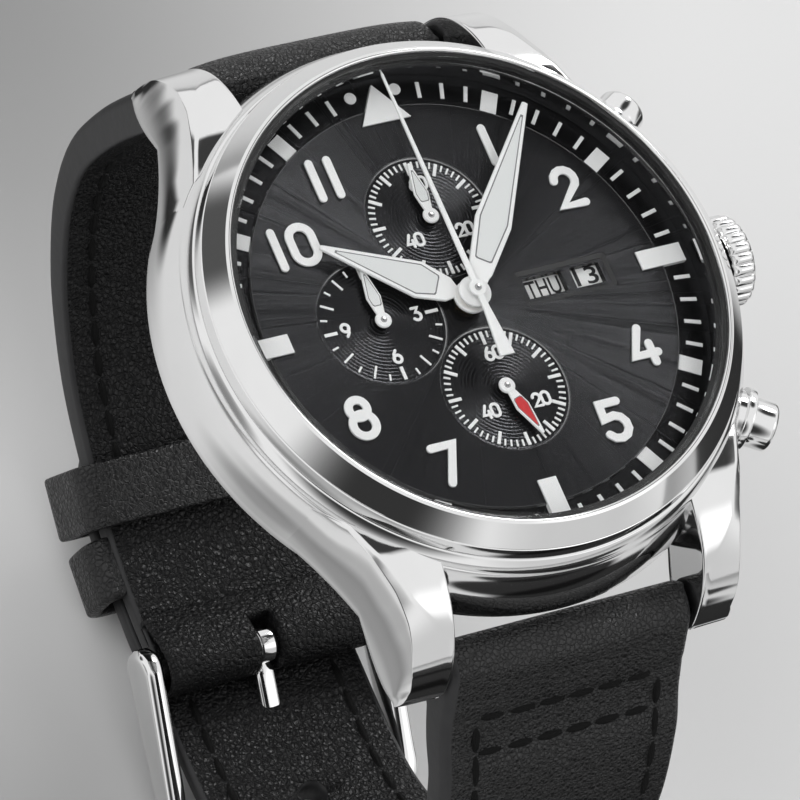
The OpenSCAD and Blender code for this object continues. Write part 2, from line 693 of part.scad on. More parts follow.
// Movement, fixed pieces
module bores(points, z0, z1) { for (p = points) at(p) disc(arbor_r + run, z0, z1); }
low_arbors = [rotor_at, middle_at, chrono_rotor_at, chrono_middle_at, counter_at, hours_rotor_at];
posts = [[9.8, -5.8], [-4.5, -8.5], [9.2, 6.5]];
module movement_holder() {
    seat = plug_r - 0.1;
    color("dimgray") difference() {
        union() {
            ring(holder_r, holder_in, back_h + plug_h, under_z);
            ring(holder_in, movement_r - 0.6, plate_z0 - 0.3, plate_z0);
        }
        radial(0, crown_z) cylinder(r = clutch_r + 0.15, h = seat + 1);
        for (a = [-pusher_at, pusher_at]) radial(a, pusher_z) cylinder(r = shaft_r + 0.2, h = seat + 1);
    }
}
module main_plate() {
    rail = [11.5, 10.9];
    color("goldenrod") difference() {
        union() {
            disc(movement_r, plate_z0, plate_z1);
            for (p = posts) at(p) disc(0.6, bridge_z1, plate_z0);
            at(day_at) disc(1, plate_z1, day_z - 0.02);
            at(day_at) disc(0.4, plate_z1, day_z + 0.17);
            difference() {
                ring(rail[0], rail[1], plate_z1, date_z - 0.02);
                at(day_at) disc(day_r + 0.3, plate_z1 - cut, under_z);
            }
        }
        disc(tube_out, plate_z0 - cut, under_z);
        bores([third_at, small_at, minutes_at, hours_at], plate_z0 - cut, plate_z1 + cut);
        bores(low_arbors, plate_z0 - cut, plate_z0 + 0.6);
        bores([motion_at], plate_z0 + 0.4, plate_z1 + cut);
    }
}
module train_bridge() {
    color("silver") difference() {
        disc(bridge_r, bridge_z0, bridge_z1);
        at(battery_at) disc(battery_r + 0.2, bridge_z0 - cut, bridge_z1 + cut);
        translate([stem_x0 - 1, -1.6, bridge_z0 - cut]) cube([bridge_r, 3.2, 2 * bridge_t + cut]);
        bores(concat(low_arbors, [third_at, small_at, minutes_at, hours_at, center]),
            bridge_z0 - cut, bridge_z1 + cut);
    }
}
module circuit_board() {
    color("darkgreen") difference() {
        disc(bridge_r + 0.6, board_z0, bridge_z0);
        at(battery_at) disc(battery_r + 0.1, board_z0 - cut, bridge_z0 + cut);
    }
}
battery_z1 = level(1) - 0.1;
battery_z0 = battery_z1 - battery_h;
module battery() {
    edge = 0.3;
    color("silver") at(battery_at) {
        disc(battery_r, battery_z0 + edge, battery_z1);
        disc(battery_r - edge, battery_z0, battery_z0 + edge);
    }
}
module battery_clamp() {
    reach = battery_r + 1.8;
    strip_w = 2.4;
    strip_t = 0.2;
    color("silver") at(battery_at) rotate([0, 0, 45]) {
        translate([-strip_w / 2, -reach, battery_z0 - strip_t]) cube([strip_w, 2 * reach - 1, strip_t]);
        translate([-strip_w / 2, -reach, battery_z0 - strip_t])
            cube([strip_w, 0.8, board_z0 - battery_z0 + strip_t]);
    }
}
module coils() {
    core_w = 1.0;
    core_t = wheel_t * 2;
    color("peru") for (m = motors) at(m[0]) rotate([0, 0, m[1]]) {
        translate([coil_off, -coil_half, magnet_z - coil_r / 2]) rotate([-90, 0, 0])
            cylinder(r = coil_r, h = 2 * coil_half);
        translate([coil_off - core_w / 2, -stator_half, magnet_z - core_t])
            cube([core_w, 2 * stator_half, core_t]);
    }
}
module stators() {
    color("silver") for (m = motors) at(m[0]) rotate([0, 0, m[1]]) difference() {
        union() {
            translate([-1.2, -stator_half, magnet_z]) cube([2.4, 2 * stator_half, wheel_t]);
            for (s = [0, 1]) mirror([0, s, 0]) translate([-1.2, coil_half + 0.05, magnet_z])
                cube([coil_off + 1.7, stator_half - coil_half - 0.05, wheel_t]);
        }
        disc(rotor_r + 0.2, magnet_z - cut, magnet_z + wheel_t + cut);
    }
}
module centre_tube() { color("silver") ring(tube_out, tube_in, plate_z0, chrono_z - 0.1); }

// Movement, turning pieces
module arbor(z1, z0 = arbor_z0) { disc(arbor_r, z0, z1); }
module rotor_unit(p) {
    at(p) {
        arbor(plate_z0 + 0.5);
        gear(pinion_s, 8, level(1));
        disc(rotor_r, magnet_z - 0.05, magnet_z + wheel_t);
    }
}
module intermediate(p) {
    at(p) {
        arbor(plate_z0 + 0.5);
        wheel(middle_r, 0.8, 30, level(1));
        gear(pinion_m, 8, level(0));
    }
}
module rotor() { color("dimgray") rotor_unit(rotor_at); }
module chrono_rotor() { color("dimgray") rotor_unit(chrono_rotor_at); }
module hour_counter_rotor() { color("dimgray") rotor_unit(hours_rotor_at); }
module intermediate_wheel() { color("gold") intermediate(middle_at); }
module chrono_intermediate_wheel() { color("gold") intermediate(chrono_middle_at); }
module seconds_wheel() {
    color("gold") at(small_at) {
        arbor(sub_hand_z + thin_hand_t);
        wheel(seconds_r, 0.8, 30, level(0));
        gear(pinion_s, 8, level(1));
    }
}
motion_z = plate_z1 + 0.05;
module third_wheel() {
    color("gold") at(third_at) {
        arbor(motion_z + 0.13);
        wheel(third_r, 0.8, 36, level(1));
        gear(pinion_s, 8, motion_z, 0.13);
    }
}
module cannon_pinion() {
    color("gold") difference() {
        union() {
            gear(center_r, 36, motion_z, 0.13);
            gear(cannon_pinion_r, 12, motion_z + 0.13, 0.12);
            disc(cannon_out, motion_z + 0.13, minute_z + hand_t);
        }
        disc(cannon_in, motion_z - cut, minute_z + 1);
    }
}
module minute_wheel() {
    color("gold") at(motion_at) {
        arbor(motion_z + 0.4, plate_z0 + 0.5);
        gear(minute_wheel_r, 36, motion_z + 0.15, 0.1);
        gear(minute_pinion_r, 10, motion_z + 0.27, 0.12);
    }
}
module hour_wheel() {
    color("gold") difference() {
        union() {
            gear(hour_wheel_r, 36, motion_z + 0.27, 0.12);
            disc(hour_out, motion_z + 0.27, hour_z + hand_t);
        }
        disc(hour_in, motion_z, hour_z + 1);
    }
}
module chrono_wheel() {
    color("gold") {
        arbor(chrono_z + thin_hand_t + chrono_boss_t);
        wheel(seconds_r, 0.8, 30, level(0));
        gear(pinion_s, 8, level(2));
    }
}
module counter_intermediate_wheel() {
    color("gold") at(counter_at) {
        arbor(plate_z0 + 0.5);
        wheel(third_r, 0.8, 36, level(2));
        gear(pinion_s, 8, level(1));
    }
}
module minute_counter_wheel() {
    color("gold") at(minutes_at) {
        arbor(sub_hand_z + thin_hand_t);
        wheel(center_r, 0.8, 36, level(1));
    }
}
module hour_counter_wheel() {
    color("gold") at(hours_at) {
        arbor(sub_hand_z + thin_hand_t);
        wheel(middle_r, 0.8, 30, level(1));
    }
}
module date_ring() {
    color("white") difference() {
        ring(date_out, date_in, date_z, date_z + date_t);
        for (i = [0:30]) rotate([0, 0, i * 360 / 31]) translate([date_in, 0, date_z - cut])
            cylinder(r = 0.3, h = 1 + date_t);
    }
}
module day_disc() { color("white") at(day_at) ring(day_r, 0.4 + run, day_z, day_z + date_t); }

// Crown, stem and pushers
module crown() {
    rib = 0.22;
    groove = 0.28;
    color("silver") radial(0, crown_z) difference() {
        rotate_extrude() polygon(concat(
            [[0, crown_x0 + 0.3], [1.9, crown_x0], [crown_r - 0.2, crown_x0],
            [crown_r, crown_x0 + 0.2], [crown_r, crown_x1 - 0.55], [crown_r - 0.4, crown_x1 - 0.3],
            [crown_r - 0.55, crown_x1 - 0.34]],
            bezier([crown_r - 0.7, crown_x1 - 0.28], [1.6, crown_x1], [0, crown_x1], 6)));
        for (i = [0:flutes - 1]) rotate([0, 0, i * 360 / flutes])
            translate([crown_r - groove, -rib / 2, crown_x0 - cut]) cube([1, rib, crown_l - 0.4 + cut]);
        translate([0, 0, crown_x0 - cut]) cylinder(r = crown_bore, h = crown_l - crown_wall + cut);
        cylinder(r = stem_r - 0.15, h = crown_x1 - 0.4);
    }
}
module stem() {
    neck_x = crown_x0 + crown_l - crown_wall;
    color("silver") radial(0, crown_z) {
        translate([0, 0, stem_x0]) cylinder(r = stem_r, h = neck_x - stem_x0);
        translate([0, 0, neck_x]) cylinder(r = stem_r - 0.15, h = crown_x1 - 0.4 - neck_x);
        translate([0, 0, stem_x0 + 1.4]) cylinder(r = clutch_r, h = 2);
    }
}
module crown_tube() {
    color("silver") radial(0, crown_z) difference() {
        translate([0, 0, bore_r + 0.05]) cylinder(r = tube_r, h = crown_x0 + 1.25 - bore_r - 0.05);
        cylinder(r = stem_r + run, h = crown_x1);
    }
}
module crown_gasket() {
    color("black") radial(0, crown_z) translate([0, 0, crown_x0 + 0.1]) difference() {
        cylinder(r = crown_bore - 0.01, h = gasket_l);
        translate([0, 0, -cut]) cylinder(r = tube_r + 0.01, h = 2 * cut + gasket_l);
    }
}
module pusher(a) {
    edge = 0.3;
    color("silver") radial(a, pusher_z) rotate_extrude() polygon(concat(
        [[0, shaft_x0], [shaft_r, shaft_x0], [shaft_r, cap_x0], [cap_r, cap_x0]],
        arc([cap_r - edge, cap_x1 - edge], edge, 0, 80, 4), [[0, cap_x1 + 0.05]]));
}
module pusher_2() { pusher(pusher_at); }
module pusher_4() { pusher(-pusher_at); }
module pusher_tubes() {
    lip = 0.3;
    bore = cap_r + 0.04;
    floor_x = cap_x0 - pusher_travel - 0.1;
    color("silver") for (a = [-pusher_at, pusher_at]) radial(a, pusher_z)
        rotate_extrude() polygon(concat([[shaft_r + 0.06, bore_r + 0.05], [tube_r, bore_r + 0.05],
            [tube_r, collar_x0], [collar_r, collar_x0], [collar_r, flange_x0],
            [flange_r, flange_x0], [flange_r, collar_x1 - lip / 2],
            [flange_r - 0.08, collar_x1], [bore, collar_x1], [bore, floor_x],
            [shaft_r + 0.06, floor_x]]));
}

// Strap
module spring_bars() {
    color("silver") for (y = [-lug_bar.x, lug_bar.x]) {
        bar_x([y, lug_bar.y], bar_r, lug_gap - 0.4);
        bar_x([y, lug_bar.y], tip_r, lug_gap + 2 * tip_reach);
    }
}
// Trims a strap half to its width, which narrows from the lugs down to the buckle
module narrowed(w0, w1, z0, z1) {
    high = 10;
    low = -60;
    intersection() {
        children();
        rotate([90, 0, 0]) linear_extrude(200, center = true) polygon([[-w0 / 2, high],
            [-w0 / 2, z0], [-w1 / 2, z1], [-w1 / 2, low], [w1 / 2, low], [w1 / 2, z1],
            [w0 / 2, z0], [w0 / 2, high]]);
    }
}
taper_z0 = lug_z - 2.35;
taper_z1 = hinge.y + 1.5;
module strap_12() {
    flap_l = 4.3;
    flap_t = 0.9;
    slot = tang_w + 2 * slot_play;
    inner = side(short_path, -1);
    color("dimgray") narrowed(strap_w, short_w, taper_z0, taper_z1) difference() {
        union() {
            across(strap_w) polygon(band(short_path));
            bar_x(lug_bar, roll_r, strap_w);
            bar_x(hinge, fold_r, strap_w);
            across(strap_w) polygon([hinge + [0, fold_r], hinge + [flap_l, flap_t],
                hinge + [flap_l, -0.2], hinge + [0, -0.2]]);
        }
        bar_x(lug_bar, bar_r + 0.1, strap_w + 1);
        bar_x(hinge, bar_r + 0.2, strap_w + 1);
        translate([-slot / 2, hinge.x - fold_r - cut, hinge.y - fold_r - cut])
            cube([slot, 2 * fold_r + cut - 0.2, 2 * (fold_r + cut)]);
    }
}
// Holes of the long half, counted from the tang's hole towards the tip
function reach(path, i) = i == 0 ? 0 : reach(path, i - 1) + norm(plane(path[i]) - plane(path[i - 1]));
function place(path, s, i = 1) =
    let (a = reach(path, i - 1), b = reach(path, i), t = (s - a) / (b - a))
    b >= s || i == len(path) - 1
        ? [plane(path[i - 1]) * (1 - t) + plane(path[i]) * t, plane(path[i]) - plane(path[i - 1])]
        : place(path, s, i + 1);
tang_s = reach(long_path, len(long_offsets) * route_steps - 3) + 1.2;
hole_steps = [-3, -2, -1, 1, 2];
module strap_6() {
    tip_taper = 7;
    tip_y = tail_ctrl[tail_count - 1].x - 1.2;
    swing = buckle_swing + tang_swing;
    slot_far = 11;
    slot_near = 2.2;
    slot_low = tang_w0 - 0.15;
    slot_high = tang_w0 + tang_t + slot_play;
    color("dimgray") difference() {
        narrowed(strap_w, long_w, taper_z0, taper_z1) intersection() {
            union() {
                across(strap_w) polygon(band(long_path));
                bar_x([-lug_bar.x, lug_bar.y], roll_r, strap_w);
            }
            translate([0, 0, -70]) linear_extrude(90) polygon(concat(
                [[-strap_w, -60], [strap_w, -60], [strap_w, tip_y - tip_taper],
                [long_w / 2, tip_y - tip_taper]],
                bezier([long_w / 2, tip_y - tip_taper], [long_w / 2 - 1, tip_y - 1], [0, tip_y], 8),
                bezier([0, tip_y], [-long_w / 2 + 1, tip_y - 1], [-long_w / 2, tip_y - tip_taper], 8),
                [[-strap_w, tip_y - tip_taper]]));
        }
        bar_x([-lug_bar.x, lug_bar.y], bar_r + 0.1, strap_w + 1);
        for (k = hole_steps) let (h = place(long_path, tang_s + k * hole_pitch))
            translate([0, h[0].x, h[0].y]) rotate([heading(h[1]), 0, 0])
                cylinder(r = hole_r, h = 2 * strap_t, center = true);
        on_buckle() across(tang_w + 2 * slot_play) polygon([[slot_near, slot_low],
            [slot_far, slot_low], [slot_far, slot_high + slot_far * tan(swing)],
            [slot_near, slot_high + slot_near * tan(swing)]]);
    }
}

// A keeper's own frame: Y runs along the strap and Z out of it
module on_strap(seg) {
    p = curve_at(short_ctrl, seg[0], seg[1]);
    d = plane(curve_at(short_ctrl, seg[0], seg[1] + 0.05)) - plane(curve_at(short_ctrl, seg[0], seg[1] - 0.05));
    translate([0, p.x, p.y]) rotate([heading(d), 0, 0]) children();
}
module rounded(w, h, r) {
    square([w - 2 * r, h], center = true);
    square([w, h - 2 * r], center = true);
    for (x = [-1, 1], y = [-1, 1]) translate([x * (w / 2 - r), y * (h / 2 - r)]) circle(r = r);
}
module keeper(seg, l, play) {
    th = curve_at(short_ctrl, seg[0], seg[1]).z;
    low = -th / 2 - play;
    high = th / 2 + strap_gap + strap_t_end + play;
    w = short_w + 2 * keeper_side;
    h = high - low;
    color("dimgray") on_strap(seg) translate([0, 0, (low + high) / 2])
        rotate([90, 0, 0]) linear_extrude(l, center = true) difference() {
            union() rounded(w + 2 * keeper_t, h + 2 * keeper_t, keeper_corner + 0.4);
            union() rounded(w, h, keeper_corner);
        }
}
module fixed_keeper() { keeper(fixed_seg, fixed_keeper_l, fixed_play); }
module free_keeper() { keeper(free_seg, free_keeper_l, free_play); }

// Buckle. Its own frame has Y towards the front bar and Z out of the strap.
module on_buckle() {
    translate([0, hinge.x, hinge.y]) rotate([180 + buckle_lean, 0, 0]) children();
}
module buckle_frame() {
    front = buckle_l + front_r;
    corner_r = 3;
    hole = tip_r + 0.1 + bar_play;
    color("silver") on_buckle() difference() {
        intersection() {
            across(buckle_w) polygon(drop(arm_end_r, buckle_l, front_r, 20));
            translate([0, 0, -5]) linear_extrude(10) union() {
                translate([-buckle_w / 2, -5]) square([buckle_w, 5 + front - corner_r]);
                translate([-buckle_w / 2 + corner_r, -5]) square([buckle_w - 2 * corner_r, 5 + front]);
                for (x = [-1, 1]) translate([x * (buckle_w / 2 - corner_r), front - corner_r])
                    circle(r = corner_r);
            }
        }
        translate([0, 0, -5]) linear_extrude(10) union() {
            square_l = buckle_l - front_r;
            translate([-window_w / 2, -5]) square([window_w, 5 + square_l - 1.5]);
            translate([-window_w / 2 + 1.5, -5]) square([window_w - 3, 5 + square_l]);
            for (x = [-1, 1]) translate([x * (window_w / 2 - 1.5), square_l - 1.5]) circle(r = 1.5);
        }
        rotate([0, 90, 0]) cylinder(r = hole, h = window_w + 1.8, center = true);
        translate([-tang_w / 2 - 0.15, buckle_l - 2, tang_w0 - 0.03]) cube([tang_w + 0.3, 5, 3]);
    }
}
module buckle_bar() {
    color("silver") {
        bar_x(hinge, bar_r, window_w - 0.3);
        bar_x(hinge, tip_r + 0.1, window_w + 1.6);
    }
}
module tang() {
    tip_l = buckle_l + front_r + 0.5;
    color("silver") on_buckle() difference() {
        union() {
            rotate([0, 90, 0]) cylinder(r = tang_loop_r, h = tang_w, center = true);
            across(tang_w) polygon([[0, tang_w0], [tip_l, tang_w0], [tip_l + 0.3, tang_w0 + 0.4],
                [tip_l, tang_w0 + tang_t], [0, tang_w0 + tang_t]]);
        }
        rotate([0, 90, 0]) cylinder(r = bar_r + run, h = tang_w + 1, center = true);
    }
}

mid_case();
case_back();
case_back_gasket();
bezel();
crystal();
crystal_gasket();
rehaut_ring();
dial();
dial_markers();
small_dial_scales();
hour_hand();
minute_hand();
chrono_hand();
minute_counter_hand();
hour_counter_hand();
small_seconds_hand();
movement_holder();
main_plate();
train_bridge();
circuit_board();
battery();
battery_clamp();
coils();
stators();
centre_tube();
rotor();
intermediate_wheel();
seconds_wheel();
third_wheel();
cannon_pinion();
minute_wheel();
hour_wheel();
chrono_rotor();
chrono_intermediate_wheel();
chrono_wheel();
counter_intermediate_wheel();
minute_counter_wheel();
hour_counter_rotor();
hour_counter_wheel();
date_ring();
day_disc();
crown();
stem();
crown_tube();
crown_gasket();
pusher_2();
pusher_4();
pusher_tubes();
spring_bars();
strap_12();
strap_6();
fixed_keeper();
free_keeper();
buckle_frame();
buckle_bar();
tang();
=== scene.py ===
# A steel chronograph wristwatch on a closed black leather strap, seen from above its lower left side.
import bpy
import bmesh
import math
import numpy as np
from mathutils import Matrix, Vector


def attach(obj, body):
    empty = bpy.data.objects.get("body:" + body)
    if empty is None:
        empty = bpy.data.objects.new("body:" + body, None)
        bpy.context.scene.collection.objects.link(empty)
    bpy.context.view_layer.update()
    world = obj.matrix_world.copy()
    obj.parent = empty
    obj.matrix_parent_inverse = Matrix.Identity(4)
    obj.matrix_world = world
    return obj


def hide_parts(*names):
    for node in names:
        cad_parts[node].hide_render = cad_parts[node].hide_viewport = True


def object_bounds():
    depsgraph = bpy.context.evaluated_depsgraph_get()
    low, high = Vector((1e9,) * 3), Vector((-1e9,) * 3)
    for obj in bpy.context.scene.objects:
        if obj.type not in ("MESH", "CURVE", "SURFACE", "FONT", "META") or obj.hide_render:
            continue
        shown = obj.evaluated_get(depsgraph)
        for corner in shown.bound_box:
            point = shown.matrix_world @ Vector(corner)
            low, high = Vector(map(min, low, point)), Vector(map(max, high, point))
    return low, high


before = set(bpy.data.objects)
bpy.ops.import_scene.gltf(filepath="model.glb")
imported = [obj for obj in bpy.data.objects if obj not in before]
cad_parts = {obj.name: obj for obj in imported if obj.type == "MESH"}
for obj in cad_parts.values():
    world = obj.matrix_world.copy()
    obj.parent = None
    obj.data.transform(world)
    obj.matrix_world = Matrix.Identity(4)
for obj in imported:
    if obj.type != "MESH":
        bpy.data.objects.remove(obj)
cad_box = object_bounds()
MM = 0.001


# The studio: a pale floor that the watch stands on, a soft dome, three soft lamps, and the camera above
# the watch's lower left side. Polished steel needs something to mirror, so mirrored rays alone see dark
# flags and two bright patches in the sky, and dark cards on the floor.
class Value:
    """A shader socket. Sums and products of values add their Math nodes to the same material."""

    def __init__(self, finish, socket):
        self.finish, self.socket = finish, socket

    def math(self, operation, *others):
        """One Math node on the given values, in their order."""
        return self.finish.node("ShaderNodeMath", {"operation": operation}, dict(enumerate(others)))

    def __add__(self, other):
        return self.math("ADD", self, other)

    __radd__ = __add__

    def __sub__(self, other):
        return self.math("SUBTRACT", self, other)

    def __rsub__(self, other):
        return self.math("SUBTRACT", other, self)

    def __mul__(self, other):
        return self.math("MULTIPLY", self, other)

    __rmul__ = __mul__

    def __pow__(self, other):
        return self.math("POWER", self, other)

    def below(self, edge, soft):
        """1 under the edge and 0 over it, changing evenly across twice the soft width."""
        return self.finish.node("ShaderNodeMapRange", {"interpolation_type": "SMOOTHSTEP"},
                                {0: self, 1: edge - soft, 2: edge + soft, 3: 1.0, 4: 0.0})


class Finish:
    """One procedural material, or the world. Its nodes all come from node()."""

    def __init__(self, name, tree_of=None):
        self.block = tree_of or bpy.data.materials.new(name)
        self.block.use_nodes = True
        self.tree = self.block.node_tree
        self.tree.nodes.clear()

    def node(self, kind, settings=None, inputs=None, output=0):
        """One node: its settings first, then a value or a link for each named socket."""
        made = self.tree.nodes.new(kind)
        for key, setting in (settings or {}).items():
            setattr(made, key, setting)
        for key, given in (inputs or {}).items():
            if isinstance(given, Value):
                self.tree.links.new(given.socket, made.inputs[key])
            else:
                made.inputs[key].default_value = given
        return Value(self, made.outputs[output])

    def place(self, scale=(1, 1, 1)):
        """Object coordinates in millimetres, stretched along each axis."""
        here = self.node("ShaderNodeTexCoord", output="Object")
        return self.node("ShaderNodeMapping", {}, {"Vector": here, "Scale": tuple(1000 * s for s in scale)})

    def axes(self):
        """The three object coordinates in millimetres, as numbers."""
        here = self.place()
        return [self.node("ShaderNodeSeparateXYZ", {}, {0: here}, output=k) for k in "XYZ"]

    def noise(self, size, detail=3.0, scale=(1, 1, 1)):
        """Cloudy noise from 0 to 1 whose blobs are about size millimetres across."""
        return self.node("ShaderNodeTexNoise", {},
                         {"Vector": self.place(scale), "Scale": 1 / size, "Detail": detail})

    def noise_along(self, place, scale, detail=3.0):
        """Noise from 0 to 1 along one number, with about scale swings in each unit of it."""
        return self.node("ShaderNodeTexNoise", {"noise_dimensions": "1D"},
                         {"W": place, "Scale": scale, "Detail": detail})

    def cells(self, size, feature="F1"):
        """Distance to the nearest point of a scattered set about size millimetres apart."""
        return self.node("ShaderNodeTexVoronoi", {"feature": feature},
                         {"Vector": self.place(), "Scale": 1 / size})

    def mix(self, share, first, second):
        """A colour that goes from the first to the second as share goes from 0 to 1."""
        given = {0: share}
        for key, shade in ((6, first), (7, second)):
            given[key] = shade if isinstance(shade, Value) else (*grey(shade), 1)
        return self.node("ShaderNodeMix", {"data_type": "RGBA"}, given, output=2)

    def bump(self, height):
        """A normal from a height in millimetres."""
        return self.node("ShaderNodeBump", {}, {"Height": height * MM, "Distance": 1.0, "Strength": 1.0})

    def shade(self, colour, **sockets):
        """Ends the material with a Principled shader and gives the material back."""
        names = {key: key.replace("_", " ").title() for key in sockets}
        names.update({"ior": "IOR", "specular": "Specular IOR Level"})
        given = {names[key]: value for key, value in sockets.items()}
        given["Base Color"] = colour if isinstance(colour, Value) else (*grey(colour), 1)
        shader = self.node("ShaderNodeBsdfPrincipled", {}, given)
        self.node_out(shader)
        return self.block

    def node_out(self, shader):
        """Joins a finished shader to the output of the material or of the world."""
        of_world = isinstance(self.block, bpy.types.World)
        out = self.tree.nodes.new("ShaderNodeOutputWorld" if of_world else "ShaderNodeOutputMaterial")
        self.tree.links.new(shader.socket, out.inputs["Surface"])


def grey(shade):
    """A colour as three numbers, from one grey level or from three."""
    return tuple(shade) if hasattr(shade, "__len__") else (shade,) * 3


def put(name, data):
    """A new object in the scene that holds a mesh, a text, a lamp or the camera."""
    made = bpy.data.objects.new(name, data)
    bpy.context.scene.collection.objects.link(made)
    return made


def cos_sin(degrees):
    """The cosine and the sine of an angle in degrees."""
    return math.cos(math.radians(degrees)), math.sin(math.radians(degrees))


eye = np.array([-200.0, -140.42, 354.76])
eye_axes = np.array([[0.8634, -0.3815, 0.3301], [0.2099, 0.8667, 0.4526], [-0.4588, -0.3214, 0.8284]])
lens = bpy.data.cameras.new("camera")
lens.lens, lens.sensor_width, lens.clip_start, lens.clip_end = 274.86, 36, 0.01, 20
camera = put("camera", lens)
camera.matrix_world = Matrix(np.vstack([np.column_stack([eye_axes.T, eye * MM]), [0, 0, 0, 1]]).tolist())
bpy.context.scene.camera = camera

world = bpy.data.worlds.new("studio")
bpy.context.scene.world = world
bpy.context.scene.view_settings.view_transform = "Standard"
dome = Finish("studio", world)
look = dome.node("ShaderNodeTexCoord", output="Generated")


def heading_of(azimuth, elevation):
    """The unit vector that points one way: the cosines and sines of its two angles."""
    (x, y), (flat, up) = cos_sin(azimuth), cos_sin(elevation)
    return x * flat, y * flat, up


def sky_patch(azimuth, elevation, inner, outer):
    """1 inside a round patch of the sky and 0 outside it, changing evenly between two half-angles. It
    compares the cosine of the angle between the ray and the patch's middle with theirs."""
    near, far = math.cos(math.radians(inner)), math.cos(math.radians(outer))
    toward = dome.node("ShaderNodeVectorMath", {"operation": "DOT_PRODUCT"},
                       {0: look, 1: heading_of(azimuth, elevation)}, output="Value")
    return 1.0 - toward.below((near + far) / 2, (near - far) / 2)


dome_level = 0.45
glow = None
for azimuth, elevation, inner, outer, depth in (
        (35, 57, 6, 17, 0.95), (-129, 27, 8, 36, 0.96), (125, 9, 9, 24, 0.9), (-62, 12, 10, 34, 0.28),
        (-8, 0, 8, 22, 0.9), (173, 1, 4, 20, 0.7)):
    flag = 1.0 - depth * sky_patch(azimuth, elevation, inner, outer)
    glow = flag if glow is None else glow * flag
glow = glow + 13.0 * sky_patch(41, 37, 6, 10) + 0.6 * sky_patch(-45, 40, 6, 20)
mirrored = dome.node("ShaderNodeLightPath", output="Is Glossy Ray")
sky = dome.mix(mirrored, dome_level, dome.node("ShaderNodeCombineXYZ", {}, {0: glow, 1: glow, 2: glow}))
dome.node_out(dome.node("ShaderNodeBackground", {}, {"Color": sky, "Strength": 1.0}))


def soft_lamp(name, azimuth, elevation, width, power, away=0.8):
    """A square lamp that faces the watch from one direction, and that no metal mirrors."""
    back = np.array(heading_of(azimuth, elevation))
    side = np.array(heading_of(azimuth + 90, 0))
    lamp = bpy.data.lights.new(name, "AREA")
    lamp.size, lamp.energy = width, power
    hung = put(name, lamp)
    turn = np.column_stack([side, np.cross(back, side), back, back * away])
    hung.matrix_world = Matrix(np.vstack([turn, [0, 0, 0, 1]]).tolist())
    hung.visible_glossy = False


soft_lamp("lamp_left", 165, 50, 0.6, 3.2)
soft_lamp("lamp_front", -95, 55, 0.5, 1.6)
soft_lamp("lamp_back", 42, 32, 0.4, 1.6)

floor_z = float(cad_box[0][2]) / MM
floor_finish = Finish("floor")
fx, fy, _ = floor_finish.axes()


def floor_patches(patches):
    """1 on the plain floor and less inside each round patch, from a centre, two radii and a depth."""
    kept = None
    for x, y, inner, outer, depth in patches:
        away = ((fx - x) * (fx - x) + (fy - y) * (fy - y)) ** 0.5
        shaded = 1.0 - depth * away.below((inner + outer) / 2, (outer - inner) / 2)
        kept = shaded if kept is None else kept * shaded
    return kept


soft_shade = floor_patches([(0, 66, 0, 70, 0.6), (-23, -12, 0, 34, 0.5)])
dark_cards = floor_patches([(330, -25, 190, 235, 0.97), (-24, 86, 16, 36, 0.95), (46, -78, 38, 52, 0.97),
                            (38, -160, 62, 74, 0.97), (95, -290, 105, 125, 0.97), (-75, -30, 12, 46, 0.55),
                            (-125, -75, 20, 80, 0.4), (-88, -135, 10, 55, 0.5)])
in_mirror = floor_finish.node("ShaderNodeLightPath", output="Is Glossy Ray")
floor_pale, floor_half = 0.76, 3.0
floor_tone = floor_finish.mix(soft_shade * (1.0 - in_mirror * (1.0 - dark_cards)), 0.0, floor_pale)
floor = bpy.data.meshes.new("floor")
corners = [(floor_half * x, floor_half * y, floor_z * MM) for x, y in ((-1, -1), (1, -1), (1, 1), (-1, 1))]
floor.from_pydata(corners, [], [(0, 1, 2, 3)])
floor.materials.append(floor_finish.shade(floor_tone, roughness=0.9, specular=0.1))
floor_object = put("floor", floor)


# The mid-case: one steel ring with four lugs that grow out of its flank, turned, pressed and
# mirror polished all over.
def grid(points, wrap_u=False, wrap_v=False, finish=0):
    """A sheet of quads over a grid of points: each point joins the next one both ways."""
    nu, nv = points.shape[:2]
    i, j = np.meshgrid(np.arange(nu - (not wrap_u)), np.arange(nv - (not wrap_v)), indexing="ij")
    a, b = (i + 1) % nu, (j + 1) % nv
    quads = np.stack([i * nv + j, a * nv + j, a * nv + b, i * nv + b], -1).reshape(-1, 4)
    return points.reshape(-1, 3), quads, np.broadcast_to(finish, i.shape).reshape(-1)


def make(name, body, shells, finishes, replaces=(), crease=32):
    """One object from sheets of points in millimetres: doubles merged, faces turned outwards."""
    starts = np.cumsum([0] + [len(s[0]) for s in shells[:-1]])
    mesh = bpy.data.meshes.new(name)
    mesh.from_pydata((np.concatenate([s[0] for s in shells]) * MM).tolist(), [],
                     np.concatenate([s[1] + k for s, k in zip(shells, starts)]).tolist())
    for finish in finishes:
        mesh.materials.append(finish)
    mesh.polygons.foreach_set("material_index", np.concatenate([s[2] for s in shells]).astype(np.int32))
    work = bmesh.new()
    work.from_mesh(mesh)
    bmesh.ops.remove_doubles(work, verts=work.verts, dist=2e-7)
    bmesh.ops.recalc_face_normals(work, faces=work.faces)
    work.to_mesh(mesh)
    work.free()
    mesh.shade_smooth()
    mesh.set_sharp_from_angle(angle=math.radians(crease))
    made = put(name, mesh)
    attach(made, body)
    if replaces:
        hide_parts(*replaces)
    return made


def lathe(profile, closed=True, steps=256, finish=0):
    """A profile of radii and heights carried round the Z axis."""
    profile, turn = np.array(profile, float), np.linspace(0, 2 * np.pi, steps, endpoint=False)[:, None]
    r, z = profile[:, 0], profile[:, 1]
    return grid(np.stack([np.cos(turn) * r, np.sin(turn) * r, z + 0 * turn], -1), True, closed, finish)


